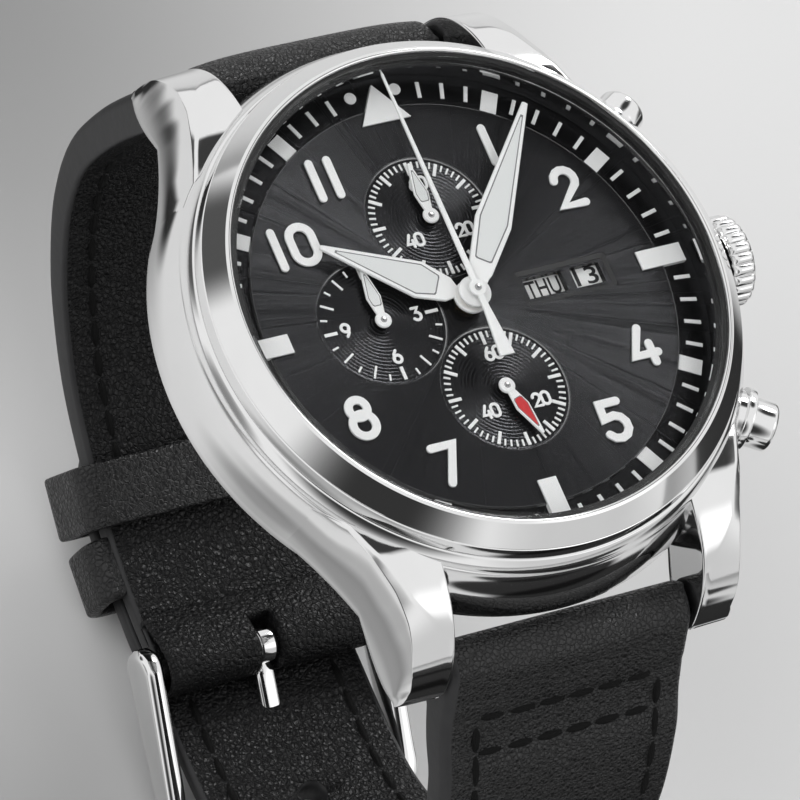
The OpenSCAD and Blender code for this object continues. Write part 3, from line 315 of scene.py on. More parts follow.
def bezier(a, b, c, steps):
    """A quadratic curve from a to c that leans towards b."""
    t = np.linspace(0, 1, steps)[:, None]
    return np.array(a) * (1 - t) ** 2 + 2 * np.array(b) * t * (1 - t) + np.array(c) * t ** 2


def arc(x, y, radius, start, end, steps):
    """Points on a circle about one point of the plane, between two angles in degrees."""
    turn = np.radians(np.linspace(start, end, steps))
    return np.column_stack([x + radius * np.cos(turn), y + radius * np.sin(turn)])


def soften(outline, radius, steps=4, fill=None):
    """A closed outline whose corners give way to short quadratic curves, radius long on each side. Fill
    gives a number of points to add on the straight after each corner. A stack of outlines works too."""
    p = np.array(outline, float)
    before, after = np.roll(p, 1, -2) - p, np.roll(p, -1, -2) - p
    size = np.broadcast_to(np.array(radius, float), p.shape[:-1])[..., None]
    reach = [d / np.linalg.norm(d, axis=-1, keepdims=True)
             * np.minimum(size, 0.48 * np.linalg.norm(d, axis=-1, keepdims=True)) for d in (before, after)]
    t = np.linspace(0, 1, steps)[:, None]
    bends = (p[..., None, :] + reach[0][..., None, :] * (1 - t) ** 2 + reach[1][..., None, :] * t ** 2)
    runs = []
    for k in range(p.shape[-2]):
        runs.append(bends[..., k, :, :])
        if fill and fill[k]:
            start, end = bends[..., k, -1:, :], bends[..., (k + 1) % p.shape[-2], :1, :]
            runs.append(start + (end - start) * np.linspace(0, 1, fill[k] + 2)[1:-1, None])
    return np.concatenate(runs, -2)


def steel(name, tone=0.78, gloss=0.07, scratch=0.0, scale=(1, 1, 1)):
    """Steel with faint cloudy wear in its gloss, and fine lines if it is brushed."""
    made = Finish(name)
    cloud = made.noise(2.5, 2.0)
    lines = made.noise(0.12, 4.0, scale)
    rough = cloud * 0.05 + (gloss - 0.02) + lines * scratch
    sockets = {"metallic": 1.0, "roughness": rough}
    if scratch:
        sockets["normal"] = made.bump(lines * 0.004)
    tint = made.mix(cloud, grey(tone), grey(tone * 0.95))
    return made.shade(tint, **sockets)


case_steel = steel("case_steel", 0.80, 0.065)
case_r, bore_r, mid_z0, mid_z1 = 21.7, 18.9, 2.6, 8.75
ring_profile = np.vstack([
    [(bore_r, mid_z0), (21.35, mid_z0), (21.5, 2.65), (21.62, 2.76), (case_r, 2.95), (case_r, 3.6)],
    bezier((case_r, 4.2), (case_r, 6.0), (20.85, 7.7), 16), [(20.81, 7.76)],
    bezier((20.77, 7.82), (20.58, 8.3), (20.22, 8.73), 8),
    [(20.18, 8.75), (19.4, mid_z1), (19.4, 8.3), (bore_r, 8.3)]])


def lug(side_x, side_y):
    """A lug as slices from its root in the ring to its tip. Each slice runs from a foot curve to a top
    curve. Its outer wall leaves the ring's flank and leans in, and a bevel that widens towards the tip
    parts that wall from the top. Its root stays within the ring's own wall, clear of the dial."""
    root_y = np.linspace(10.5, 16.2, 9)
    root_z = np.interp(root_y, [10.5, 12, 14, 16.2], [7.2, 7.65, 8.18, 8.3])
    top = np.vstack([np.column_stack([root_y, root_z]), bezier((16.5, 8.3), (23.6, 7.3), (24.8, 1.0), 32),
                     [(24.79, 0.62), (24.74, 0.28)]])
    foot = np.vstack([np.column_stack([np.linspace(10.5, 18.6, 9), np.full(9, mid_z0)]),
                      bezier((18.8, mid_z0), (21.4, -0.25), (23.2, -0.45), 26),
                      np.column_stack([np.linspace(23.35, 24.3, 8), np.linspace(-0.45, -0.38, 8)])])
    tall = np.linalg.norm(top - foot, axis=1)
    inner_x, root_r = 10, 19.3
    ring_y = np.linspace(5, 12, 12)
    plan = np.vstack([np.column_stack([np.sqrt(case_r ** 2 - ring_y ** 2) - 0.02, ring_y]),
                      arc(44.78, 28.5, 31.4, 211, 188.3, 24),
                      [(13.7, 24.0), (13.45, 24.5), (12.9, 24.8)]])
    ridge_y = [10.5, 12.3, 13.3, 16.1, 18.9, 21.2, 22.7, 23.8, 24.8]
    low = np.interp(top[:, 0], plan[:, 1], plan[:, 0])
    ridge_x = np.interp(top[:, 0], ridge_y, [18.1, 16.95, 15.95, 14.95, 13.9, 13.35, 13.2, 13.15, 12.8])
    ridge_x = np.minimum(ridge_x, low - 0.05)
    drop = np.interp(top[:, 0], [10.5, 12.0, 14.0, 16.5, 23.0, 24.6], [0.04, 0.04, 0.2, 0.45, 0.5, 0.35])
    crease_x = np.interp(top[:, 0], [10.5, 16, 18, 19.8, 22.8, 24.8], [17.9, 14.85, 13.65, 13.0, 10.5, 10.4])
    crease_x = np.minimum(crease_x, ridge_x - 0.12)
    zero, wide = 0 * tall, low - inner_x
    share = (crease_x - inner_x) / (ridge_x - inner_x)
    corners = np.moveaxis(np.array([[zero, zero], [wide, zero], [wide, tall - drop],
                                    [wide * share, tall - 0.3 * drop], [zero, tall]]), (0, 1, 2), (1, 2, 0))
    loop = soften(corners, (0.3, 0.8, 0.06, 0.3, 0.3), 5, (3, 12, 0, 5, 6))
    part, rise = loop[..., 0] / wide[:, None], loop[..., 1] / tall[:, None]
    yz = foot[:, None] + (top - foot)[:, None] * rise[..., None]
    start = np.interp(yz[..., 0], [12.3, 18, 23], [4.2, 3.0, 0.6])
    ridge = (foot + (top - foot) * ((tall - drop) / tall)[:, None])[:, None, 1]
    lean = np.clip((yz[..., 1] - start) / np.maximum(ridge - start, 0.5), 0, 1.05) ** 2
    outer = np.interp(yz[..., 0], plan[:, 1], plan[:, 0])
    outer = outer - np.minimum(lean * (low - ridge_x)[:, None], outer - 10.5)
    across = inner_x + part * (outer - inner_x)
    points = np.dstack([np.maximum(across, np.sqrt(np.maximum(root_r ** 2 - yz[..., 0] ** 2, 0))), yz])
    middle = points.mean(1, keepdims=True)
    cap = [middle[-1:] + (points[-1:] - middle[-1:]) * s + np.array([0, d, -d]) for s, d in
           ((0.93, 0.03), (0.75, 0.05), (0.0, 0.06))]
    points = np.concatenate([np.repeat(middle[:1], points.shape[1], 1), points, *cap])
    return grid(points * np.array([side_x, side_y, 1]), False, True)


make("case_band", "case", [lathe(ring_profile)] + [lug(sx, sy) for sx in (-1, 1) for sy in (-1, 1)],
     [case_steel], ["mid_case"], crease=38)


# The case back and what seals and holds it: a turned plate of brushed steel on a rubber ring, and the
# two sprung bars that hold the strap between the lugs.
def dress(finish, *nodes):
    """Gives CAD pieces a finish through their own material slots."""
    for node in nodes:
        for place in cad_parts[node].material_slots:
            place.material = finish


def ringed_steel(name):
    """Steel turned in fine circles about the Z axis."""
    made = Finish(name)
    x, y, _ = made.axes()
    r = (x * x + y * y) ** 0.5
    rings = made.noise_along(r, 9.0)
    return made.shade(made.mix(rings, grey(0.68), grey(0.58)), metallic=1.0, roughness=rings * 0.15 + 0.2,
                      normal=made.bump(rings * 0.006))


def plain_coat(name, size, first, second, rough, spread, height, **more):
    """Rubber, plastic, print or paint: one cloudy noise sways its tint, its gloss and its surface."""
    made = Finish(name)
    cloud = made.noise(size)
    return made.shade(made.mix(cloud, first, second), roughness=cloud * spread + rough,
                      normal=made.bump(cloud * height), **more)


seal = plain_coat("seal", 0.2, 0.012, 0.03, 0.6, 0.2, 0.01)
plain_steel = steel("plain_steel", 0.66, 0.22, 0.1, (1, 1, 8))
dress(ringed_steel("back_steel"), "case_back")
dress(seal, "case_back_gasket", "crown_gasket")
dress(plain_steel, "spring_bars", "buckle_bar", "crown_tube", "stem")


# The movement under the dial: a brass main plate, a steel bridge, a green circuit board, a button cell,
# three copper coils with their stators, and two trains of brass wheels.
def plain_metal(name, tone, worn, rough, grain):
    """Metal with a cloudy tint and a fine bumpy grain."""
    made = Finish(name)
    cloud = made.noise(grain * 6)
    fine = made.noise(grain)
    return made.shade(made.mix(cloud, tone, worn), metallic=1.0, roughness=fine * 0.15 + rough,
                      normal=made.bump(fine * 0.003))


brass = plain_metal("brass", (0.72, 0.52, 0.24), (0.62, 0.43, 0.2), 0.25, 0.2)
grained = plain_metal("grained_steel", grey(0.62), grey(0.52), 0.3, 0.12)
magnet = plain_metal("magnet", (0.16, 0.16, 0.18), (0.1, 0.1, 0.11), 0.4, 0.1)


def wound_copper():
    """Enamelled wire wound in fine turns, as bands across each coil."""
    made = Finish("wound_copper")
    wave = made.node("ShaderNodeTexWave", {}, {"Vector": made.place(), "Scale": 3.0, "Distortion": 0.4})
    return made.shade(made.mix(wave, (0.55, 0.22, 0.08), (0.75, 0.36, 0.16)), metallic=0.9, roughness=0.35,
                      normal=made.bump(wave * 0.01))


def green_board():
    """Green lacquer with paler traces under it."""
    made = Finish("green_board")
    trace = made.cells(1.6).below(0.3, 0.05)
    return made.shade(made.mix(trace, (0.01, 0.09, 0.04), (0.02, 0.16, 0.07)), roughness=0.35,
                      normal=made.bump(trace * 0.01))


dress(brass, "main_plate", "intermediate_wheel", "seconds_wheel", "third_wheel", "cannon_pinion",
      "minute_wheel", "hour_wheel", "chrono_intermediate_wheel", "chrono_wheel",
      "counter_intermediate_wheel", "minute_counter_wheel", "hour_counter_wheel")
dress(grained, "train_bridge", "stators", "battery_clamp", "battery", "centre_tube")
dress(magnet, "rotor", "chrono_rotor", "hour_counter_rotor")
dress(wound_copper(), "coils")
dress(green_board(), "circuit_board")
dress(plain_coat("holder_plastic", 0.15, (0.03, 0.03, 0.032), (0.021, 0.021, 0.0224), 0.45, 0.2, 0.004),
      "movement_holder")


# The calendar: a white date ring and a white day disc under the dial, both printed in black so that the
# right day and date stand upright in the two windows.
def ink(name, tone, gloss=0.55):
    """Flat print with a barely uneven gloss."""
    return plain_coat(name, 0.08, tone, tuple(c * 0.9 for c in tone), gloss, 0.1, 0.0015)


paper_white = ink("calendar_white", (0.84, 0.84, 0.83))
print_black = ink("print_black", (0.012, 0.012, 0.013))
dress(paper_white, "date_ring", "day_disc")


def lettering(name, words, body, z, finish):
    """Flat print: each word has its text, height, widest width, place, and turn in degrees."""
    made = []
    for text, height, width, x, y, turn in words:
        curve = bpy.data.curves.new(name, "FONT")
        curve.body, curve.align_x, curve.align_y = text, "CENTER", "CENTER"
        curve.resolution_u, curve.offset = 3, 0.012
        word = put(name, curve)
        bpy.context.view_layer.update()
        flat = bpy.data.meshes.new_from_object(word.evaluated_get(bpy.context.evaluated_depsgraph_get()))
        bpy.data.objects.remove(word)
        spots = np.zeros(len(flat.vertices) * 3)
        flat.vertices.foreach_get("co", spots)
        spots = spots.reshape(-1, 3)
        low, high = spots.min(0), spots.max(0)
        size = (min(width / (high[0] - low[0]), 9), height / (high[1] - low[1]), 0)
        spots = (spots - (low + high) / 2) * size
        c, s = cos_sin(turn)
        spots = spots @ np.array([[c, s, 0], [-s, c, 0], [0, 0, 1]]) + (x, y, z)
        flat.vertices.foreach_set("co", (spots * MM).ravel())
        made.append(flat)
    work = bmesh.new()
    for flat in made:
        work.from_mesh(flat)
    bmesh.ops.recalc_face_normals(work, faces=work.faces)
    bmesh.ops.reverse_faces(work, faces=[f for f in work.faces if f.normal.z < 0])
    whole = bpy.data.meshes.new(name)
    work.to_mesh(whole)
    work.free()
    whole.materials.append(finish)
    piece = put(name, whole)
    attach(piece, body)
    return piece


date_r, date_now, day_r, day_centre, print_tall = 10.12, 13, 4.38, (6.4, -4.2), 1.36
dates = []
for k in range(31):
    turn = 360 * k / 31
    number, (c, s) = str((date_now - 1 + k) % 31 + 1), cos_sin(turn + 1)
    dates.append((number, print_tall, 0.93 * len(number), date_r * c, date_r * s, turn))
lettering("date_print", dates, "date", 7.306, print_black)
days = []
for k, day in enumerate(("THU", "FRI", "SAT", "SUN", "MON", "TUE", "WED")):
    turn = 360 * k / 7
    c, s = cos_sin(turn - 4)
    days.append((day, print_tall, 2.75, day_centre[0] - day_r * s, day_centre[1] + day_r * c, turn))
lettering("day_print", days, "day", 7.056, print_black)


# The dial: a lacquered plate with a raised middle that is brushed from the centre outwards, three sunk
# small dials turned in fine circles, and a bevelled frame round the two windows.
sub_pitch, sub_r, dial_z, centre_z, step_r = 6.85, 4.8, 7.8, 8.05, 15.85
sub_at = ((0, sub_pitch), (-sub_pitch, 0), (0, -sub_pitch))


def dial_black():
    """Black lacquer over brushed metal. The brushing is a height that depends only on the angle about
    the centre, and inside each small dial one that depends only on the distance from its own centre.
    The colour is streaked at random along the brushing, and the small dials' rings are painted darker
    in their grooves and lighter on their ridges, as painted shade."""
    made = Finish("dial_black")
    ring_pitch, ring_depth, brush_depth = 0.27, 0.008, 0.003
    x, y, _ = made.axes()
    r = (x * x + y * y) ** 0.5
    angle = y.math("ARCTAN2", y, x)
    fine = made.noise_along(angle, 160.0)
    brushed = fine * r * brush_depth
    inside, rings = None, None
    for cx, cy in sub_at:
        d = ((x - cx) * (x - cx) + (y - cy) * (y - cy)) ** 0.5
        here = d.below(sub_r - 0.12, 0.03)
        wave = here * d.math("SINE", d * (2 * math.pi / ring_pitch))
        inside = here if inside is None else inside + here
        rings = wave if rings is None else rings + wave
    height = brushed * (1.0 - inside) * r.below(step_r - 0.05, 0.03) + rings * ring_depth
    # Colour: random streaks along the brushing, plus painted shade in the small dials' grooves, lighter on
    # their ridges.
    tone = made.mix(fine + rings * 0.45, (0.017, 0.017, 0.018), (0.03, 0.03, 0.032))
    return made.shade(tone, metallic=0.9, roughness=0.2 + 0.1 * fine, normal=made.bump(height))


def moved(shape, at):
    """A sheet of points carried to another centre in the plane."""
    return shape[0] + np.array([at[0], at[1], 0]), shape[1], shape[2]


dress(dial_black(), "dial")
gloss_black = Finish("gloss_black")
gloss_black = gloss_black.shade(gloss_black.mix(gloss_black.noise(0.5), 0.014, 0.02), roughness=0.16)
step = [(step_r - 0.06, centre_z), (step_r - 0.04, centre_z + 0.008), (step_r + 0.07, dial_z + 0.1),
        (step_r + 0.07, dial_z - 0.02), (step_r - 0.06, dial_z - 0.02)]
rims = [lathe(step, steps=192)]
for at in sub_at:
    rim = lathe([(sub_r + 0.05, centre_z + 0.006), (sub_r + 0.06, centre_z - 0.1),
                 (sub_r - 0.08, centre_z - 0.11), (sub_r - 0.08, centre_z - 0.08)], steps=128)
    rims.append(moved(rim, at))
make("dial_edges", "case", rims, [steel("dial_edge", 0.26, 0.14)], crease=20)


def rounded_box(x0, x1, y0, y1, radius, steps=6):
    """The outline of a box with rounded corners, as points of the plane."""
    return soften([(x0, y0), (x1, y0), (x1, y1), (x0, y1)], radius, steps)


def stacked(loops):
    """Outlines with as many points each, joined one to the next at their own heights."""
    return grid(np.stack([np.column_stack([loop, np.full(len(loop), z)]) for loop, z in loops]), True, True)


opening = rounded_box(4.62, 11.48, -1.04, 1.04, 0.15)
window_frame = [(rounded_box(4.3, 11.8, -1.35, 1.35, 0.3), 8.058), (opening, 7.915), (opening, 7.89),
                (rounded_box(4.28, 11.82, -1.37, 1.37, 0.3), 7.89)]
make("window_frame", "case", [stacked(window_frame)], [gloss_black])


# The dial's marks: a minute track, applied numerals and the small dials' scales, all filled with the
# same flat off-white.
lume_white = ink("lume_white", (0.88, 0.88, 0.87), 0.5)
dress(lume_white, "dial_markers", "small_dial_scales")


# The hands: thin steel blades enamelled off-white, each with a paler grey filling inside a fine dark
# line. The small seconds hand is filled in red.
def capped(rings):
    """Rings of points in a row, with one more at each end that is drawn together to its middle."""
    ends = [np.repeat(rings[k:k + 1].mean(1, keepdims=True), rings.shape[1], 1) for k in (0, -1)]
    return np.concatenate([ends[0], rings, ends[1]])


def blade(rows, z0, z1, bevel, turn, at=(0, 0)):
    """A flat blade along a line, from rows of half-width and distance, with its upper edges bevelled.
    It is drawn towards twelve and turned clockwise."""
    rows = np.array(rows, float)
    half, along = rows[:, 0], rows[:, 1]
    inset = np.minimum(bevel, half * 0.6)
    side = np.stack([-half, -half, -half + inset, half - inset, half, half], 1)
    level = np.array([z0, z1 - bevel, z1, z1, z1 - bevel, z0])
    points = np.dstack([side, np.repeat(along[:, None], 6, 1), np.repeat(level[None], len(rows), 0)])
    c, s = cos_sin(turn)
    return capped(points) @ np.array([[c, -s, 0], [s, c, 0], [0, 0, 1]]) + np.array([at[0], at[1], 0])


def hub(r, r_in, z0, z1, bevel, at=(0, 0)):
    """A bevelled ring about a hand's axis."""
    return moved(lathe([(r_in, z0), (r, z0), (r, z1 - bevel), (r - bevel, z1), (r_in, z1)], steps=64), at)


hand_white = ink("hand_white", (0.90, 0.90, 0.89), 0.32)
hand_grey = ink("hand_filling", (0.76, 0.77, 0.76), 0.6)
hand_line = ink("hand_line", (0.16, 0.16, 0.165), 0.4)
hand_red = ink("hand_red", (0.56, 0.025, 0.03), 0.45)
pin_steel = steel("pin_steel", 0.42, 0.2)


def hand(name, body, node, outline, filling, line, z, thick, turn, ring, at=(0, 0), fill=None):
    """A hand: its blade and hub, then a dark outline just over it, then the filling."""
    top = z + thick
    shells = [grid(blade(outline, z, top, 0.05, turn, at), False, True, 0),
              hub(ring, 0.24, z - 0.01, top + 0.02, 0.06, at)]
    if filling:
        shells.append(grid(blade(line, top - 0.02, top + 0.006, 0.004, turn, at), False, True, 1))
        shells.append(grid(blade(filling, top - 0.01, top + 0.014, 0.006, turn, at), False, True, 2))
    return make(name, body, shells, [hand_white, hand_line, fill or hand_grey], [node], 25)


hand("hour_blade", "hours", "hour_hand",
     [(0.5, 1.0), (0.52, 1.2), (0.96, 1.7), (1.48, 3.95), (0.17, 11.2), (0.04, 11.23)],
     [(0.6, 2.6), (0.74, 2.66), (1.14, 3.95), (0.05, 10.0)],
     [(0.68, 2.5), (0.82, 2.56), (1.24, 3.95), (0.1, 10.15)], 8.75, 0.2, 303.4, 1.25)
hand("minute_blade", "minutes", "minute_hand",
     [(0.7, 0.9), (0.75, 1.35), (0.9, 1.75), (1.37, 6.0), (0.22, 16.47), (0.05, 16.5)],
     [(0.42, 2.72), (0.56, 2.8), (0.98, 6.08), (0.05, 15.2)],
     [(0.5, 2.6), (0.65, 2.7), (1.08, 6.08), (0.1, 15.4)], 9.55, 0.2, 37.3, 1.2)
hand("chrono_blade", "chrono_seconds", "chrono_hand",
     [(0.59, -5.34), (0.27, -1.6), (0.24, 0), (0.2, 5), (0.1, 17.3), (0.03, 17.58)],
     None, None, 10.15, 0.15, 0, 0.65)
for name, body, node, at, turn, fill in (
        ("minute_counter_blade", "minute_counter", "minute_counter_hand", sub_at[0], 0, None),
        ("hour_counter_blade", "hour_counter", "hour_counter_hand", sub_at[1], 0, None),
        ("small_seconds_blade", "seconds", "small_seconds_hand", sub_at[2], 164.4, hand_red)):
    hand(name, body, node, [(0.3, 0.45), (0.57, 1.8), (0.12, 4.17), (0.03, 4.2)],
         [(0.2, 1.15), (0.3, 1.25), (0.4, 1.8), (0.04, 3.5)],
         [(0.26, 1.08), (0.36, 1.2), (0.46, 1.8), (0.07, 3.62)], 8.35, 0.15, turn, 0.6, at, fill)
caps = []
for at, z, r in [((0, 0), 10.41, 0.25)] + [(p, 8.53, 0.24) for p in sub_at]:
    cap = lathe([(0, z), (r * 0.7, z), (r, z - 0.03), (r, z - 0.2), (0, z - 0.2)], False, 32)
    caps.append(moved(cap, at))
for name, body, cap in zip(("chrono_pin", "minute_counter_pin", "hour_counter_pin", "seconds_pin"),
                           ("chrono_seconds", "minute_counter", "hour_counter", "seconds"), caps):
    make(name, body, [cap], [pin_steel])


# The glass and what frames it: a polished ring round the dial, a turned and polished bezel pressed on
# the mid-case, a flat sapphire crystal and the thin gasket that seals it.
rehaut_steel = steel("rehaut_steel", 0.42, 0.05)
make("rehaut", "case", [lathe(soften([(18.3, 7.8), (18.85, 7.8), (18.85, 10.2), (18.42, 10.2)], 0.05, 3))],
     [rehaut_steel], ["rehaut_ring"])
bezel_steel = steel("bezel_steel", 0.80, 0.06)
bezel_profile = np.vstack([
    [(18.9, 8.3), (19.4, 8.3), (19.4, 8.75), (20.0, 8.75), (20.07, 8.78), (20.1, 8.85), (20.09, 9.0),
     (19.95, 9.66), (19.93, 9.71), (19.86, 9.74), (19.84, 9.76), (19.85, 9.8), (19.89, 9.83), (19.885, 9.87),
     (19.86, 9.9), (18.66, 11.27)],
    arc(18.425, 11.185, 0.175, 50, 158, 10),
    [(18.25, 11.2), (18.25, 10.5), (17.6, 10.5), (17.6, 10.2), (18.9, 10.2)]])
make("bezel_ring", "case", [lathe(bezel_profile)], [bezel_steel], ["bezel"], crease=24)
seal_section = soften([(18.1, 10.5), (18.25, 10.5), (18.25, 11.0), (18.1, 11.0)], 0.03, 3)
make("glass_seal", "case", [lathe(seal_section)], [seal], ["crystal_gasket"])


def clear_glass():
    """Clear coated glass: light goes straight through, and only a little is mirrored at a slant."""
    made = Finish("clear_glass")
    through = made.node("ShaderNodeBsdfTransparent", {}, {"Color": (0.985, 0.988, 0.99, 1)})
    mirror = made.node("ShaderNodeBsdfGlossy", {}, {"Color": (1, 1, 1, 1), "Roughness": 0.02})
    share = made.node("ShaderNodeLayerWeight", {}, {"Blend": 0.5}, output="Facing") ** 4 * 0.5 + 0.02
    made.node_out(made.node("ShaderNodeMixShader", {}, {0: share, 1: through, 2: mirror}))
    return made.block


glass_profile = [(0, 10.5), (18.1, 10.5), (18.1, 11.0), (17.84, 11.28), (17.8, 11.3), (0, 11.3)]
make("glass", "case", [lathe(glass_profile, False)], [clear_glass()], ["crystal"], 10)


# The crown: a polished knob with twenty-four rounded flutes round its edge and a domed end, screwed on
# the stem at three o'clock.
def outward(points, turn, height):
    """Turns a shape drawn upwards so that it points out from the watch's axis, at a height."""
    c, s = cos_sin(turn)
    x, y, z = np.moveaxis(points, -1, 0)
    return np.stack([z * c - y * s, z * s + y * c, height - x], -1)


def fluted_knob():
    """A knob whose radius swells and dips with the angle, the dips fading out towards both faces."""
    flutes, flute_depth, crown_z = 24, 0.24, 4.24
    turn = np.linspace(0, 2 * np.pi, flutes * 16, endpoint=False)[:, None]
    profile = np.array([(1.65, 21.85), (2.6, 21.85), (3.08, 21.88), (3.2, 21.93), (3.32, 22.05), (3.38, 22.2),
                        (3.4, 22.4), (3.4, 22.8), (3.4, 23.15), (3.38, 23.35), (3.3, 23.5), (3.15, 23.6),
                        (3.03, 23.66), (2.96, 23.7), (2.9, 23.71), (2.84, 23.7), (2.76, 23.73), (2.4, 23.83),
                        (1.8, 23.95), (1.0, 24.03), (0.0, 24.05)])
    depth = np.interp(np.arange(len(profile)), [0, 2, 3, 5, 9, 11, 12, 20], [0, 0, 0.4, 1, 1, 0.7, 0, 0])
    wave = (0.5 - 0.5 * np.cos(flutes * turn)) ** 0.3
    r = profile[:, 0] - flute_depth * depth * (1 - wave)
    inner = np.array([(0.0, 23.2), (1.65, 23.2)])
    shape = np.stack([r * np.cos(turn), r * np.sin(turn), profile[:, 1] + 0 * turn], -1)
    well = np.stack([inner[:, 0] * np.cos(turn), inner[:, 0] * np.sin(turn), inner[:, 1] + 0 * turn], -1)
    return outward(np.concatenate([well, shape], 1), 0, crown_z)


crown_steel = steel("crown_steel", 0.80, 0.09)
make("crown_knob", "crown_stem", [grid(fluted_knob(), True, False)], [crown_steel],
     ["crown"], 50)


# The chronograph's two pushers: polished caps that slide in collars pressed into the flank at two and
# four o'clock.
pusher_steel = steel("pusher_steel", 0.80, 0.07)


def turned(profile, turn, height, closed, steps=96):
    """A lathed shape pointing out of the case at an angle."""
    shape = lathe(profile, closed, steps)
    return outward(shape[0], turn, height), shape[1], shape[2]


pusher_z, pusher_turn = 4.6, 33
cap_profile = [(0, 17.2), (0.7, 17.2), (0.7, 22.3), (1.6, 22.3), (1.77, 22.33), (1.8, 22.4), (1.8, 24.0),
               (1.78, 24.15), (1.7, 24.28), (1.58, 24.36), (1.4, 24.4), (0, 24.45)]
for name, body, node, turn in (("pusher_cap_2", "start_pusher", "pusher_2", pusher_turn),
                               ("pusher_cap_4", "reset_pusher", "pusher_4", -pusher_turn)):
    cap = turned(cap_profile, turn, pusher_z, False)
    make(name, body, [cap], [pusher_steel], [node], 28)
collar_profile = [(0.76, 18.95), (1.3, 18.95), (1.3, 20.0), (2.0, 20.0), (2.0, 21.85), (2.24, 21.85),
                  (2.29, 21.9), (2.3, 21.96), (2.3, 22.32), (2.27, 22.42), (2.18, 22.49), (2.05, 22.5),
                  (1.9, 22.5), (1.84, 22.46), (1.84, 21.2), (0.76, 21.2)]
collars = [turned(collar_profile, turn, pusher_z, True) for turn in (pusher_turn, -pusher_turn)]
make("pusher_collars", "case", collars, [pusher_steel], ["pusher_tubes"], 28)


# The strap's two halves: domed black calf leather over a black lining, with painted edges, thick at the
# lugs and thin at the buckle. The buckle half folds round the hinge bar, and the long half has five holes.
lug_bar, lug_width, short_end, long_end = np.array([23.3, 0.9]), 19.6, 17.6, 17.2
full, thin, lap_gap, fold_r, fold_run, dome_drop, edge_r = 3.5, 2.1, 0.25, 2.1, 3.0, 0.32, 0.85
short_offsets = [(0, 0, 0), (1.7, -4.5, 0), (3.9, -9.5, 0.04), (5.9, -15.5, 0.08), (6.9, -21.3, 0.14),
                 (6.0, -26.5, 0.2), (3.9, -30.7, 0.28), (0.9, -34.5, 0.36), (-4.0, -38.5, 0.43),
                 (-10.0, -41.3, 0.5), (-15.3, -42.9, 0.72), (-21.8, -43.7, 0.93), (-26.6, -43.65, 1)]
long_offsets = [(0, 0, 0), (-3.1, -4.5, 0.3), (-5.6, -7.4, 0.5), (-8.4, -13.1, 0.55), (-9.5, -19.6, 0.6),
                (-8.9, -26.6, 0.7), (-6.1, -33.6, 0.8), (-1.2, -39.8, 0.9), (5.0, -44.2, 1), (10.8, -45.8, 1)]


def controls(offsets, bar):
    """Rows of place and thickness from rows of offset and share of thinning."""
    rows = np.array(offsets, float)
    return np.column_stack([bar + rows[:, :2], full - (full - thin) * rows[:, 2]])


def left(way):
    """The unit vector to the left of a direction in the plane."""
    way = np.asarray(way, float)
    return np.stack([-way[..., 1], way[..., 0]], -1) / np.linalg.norm(way, axis=-1, keepdims=True)


def catmull_rom(rows, t):
    """A place between the middle two of four rows, a share t of the way: the cubic that passes through
    both, with a slope at each of half the step from the row before it to the row after."""
    a, b, c, d = rows
    return 0.5 * (2 * b + (c - a) * t + (2 * a - 5 * b + 4 * c - d) * t ** 2
                  + (3 * b - a - 3 * c + d) * t ** 3)


def run_of(rows, steps=14):
    """A strap half's middle line through its rows: place and thickness, left-hand normal, length so far."""
    padded = np.vstack([rows[:1], rows, rows[-1:]])
    shares = (np.arange(steps) / steps)[None, :, None]
    mid = catmull_rom([padded[k:len(rows) - 1 + k, None] for k in range(4)], shares)
    path = np.vstack([mid.reshape(-1, 3), rows[-1:]])
    gone = np.concatenate([[0], np.cumsum(np.linalg.norm(np.diff(path[:, :2], axis=0), axis=1))])
    return path, left(np.gradient(path[:, :2], axis=0)), gone


short_rows = controls(short_offsets, lug_bar)
places = short_rows[:, :2]
ways = np.vstack([places[1:], places[-1:]]) - np.vstack([places[:1], places[:-1]])
tail = [np.append(places[i] + (short_rows[i, 2] / 2 + lap_gap + thin / 2) * left(ways[i]), thin)
        for i in (12, 11, 10, 9, 8)]
long_rows = np.vstack([controls(long_offsets, lug_bar * (-1, 1)), tail])


def strap_width(z, end_width):
    """The strap's width, which narrows evenly from the lugs down to the buckle."""
    return np.interp(z, [-40.2, -2.8], [end_width, lug_width])


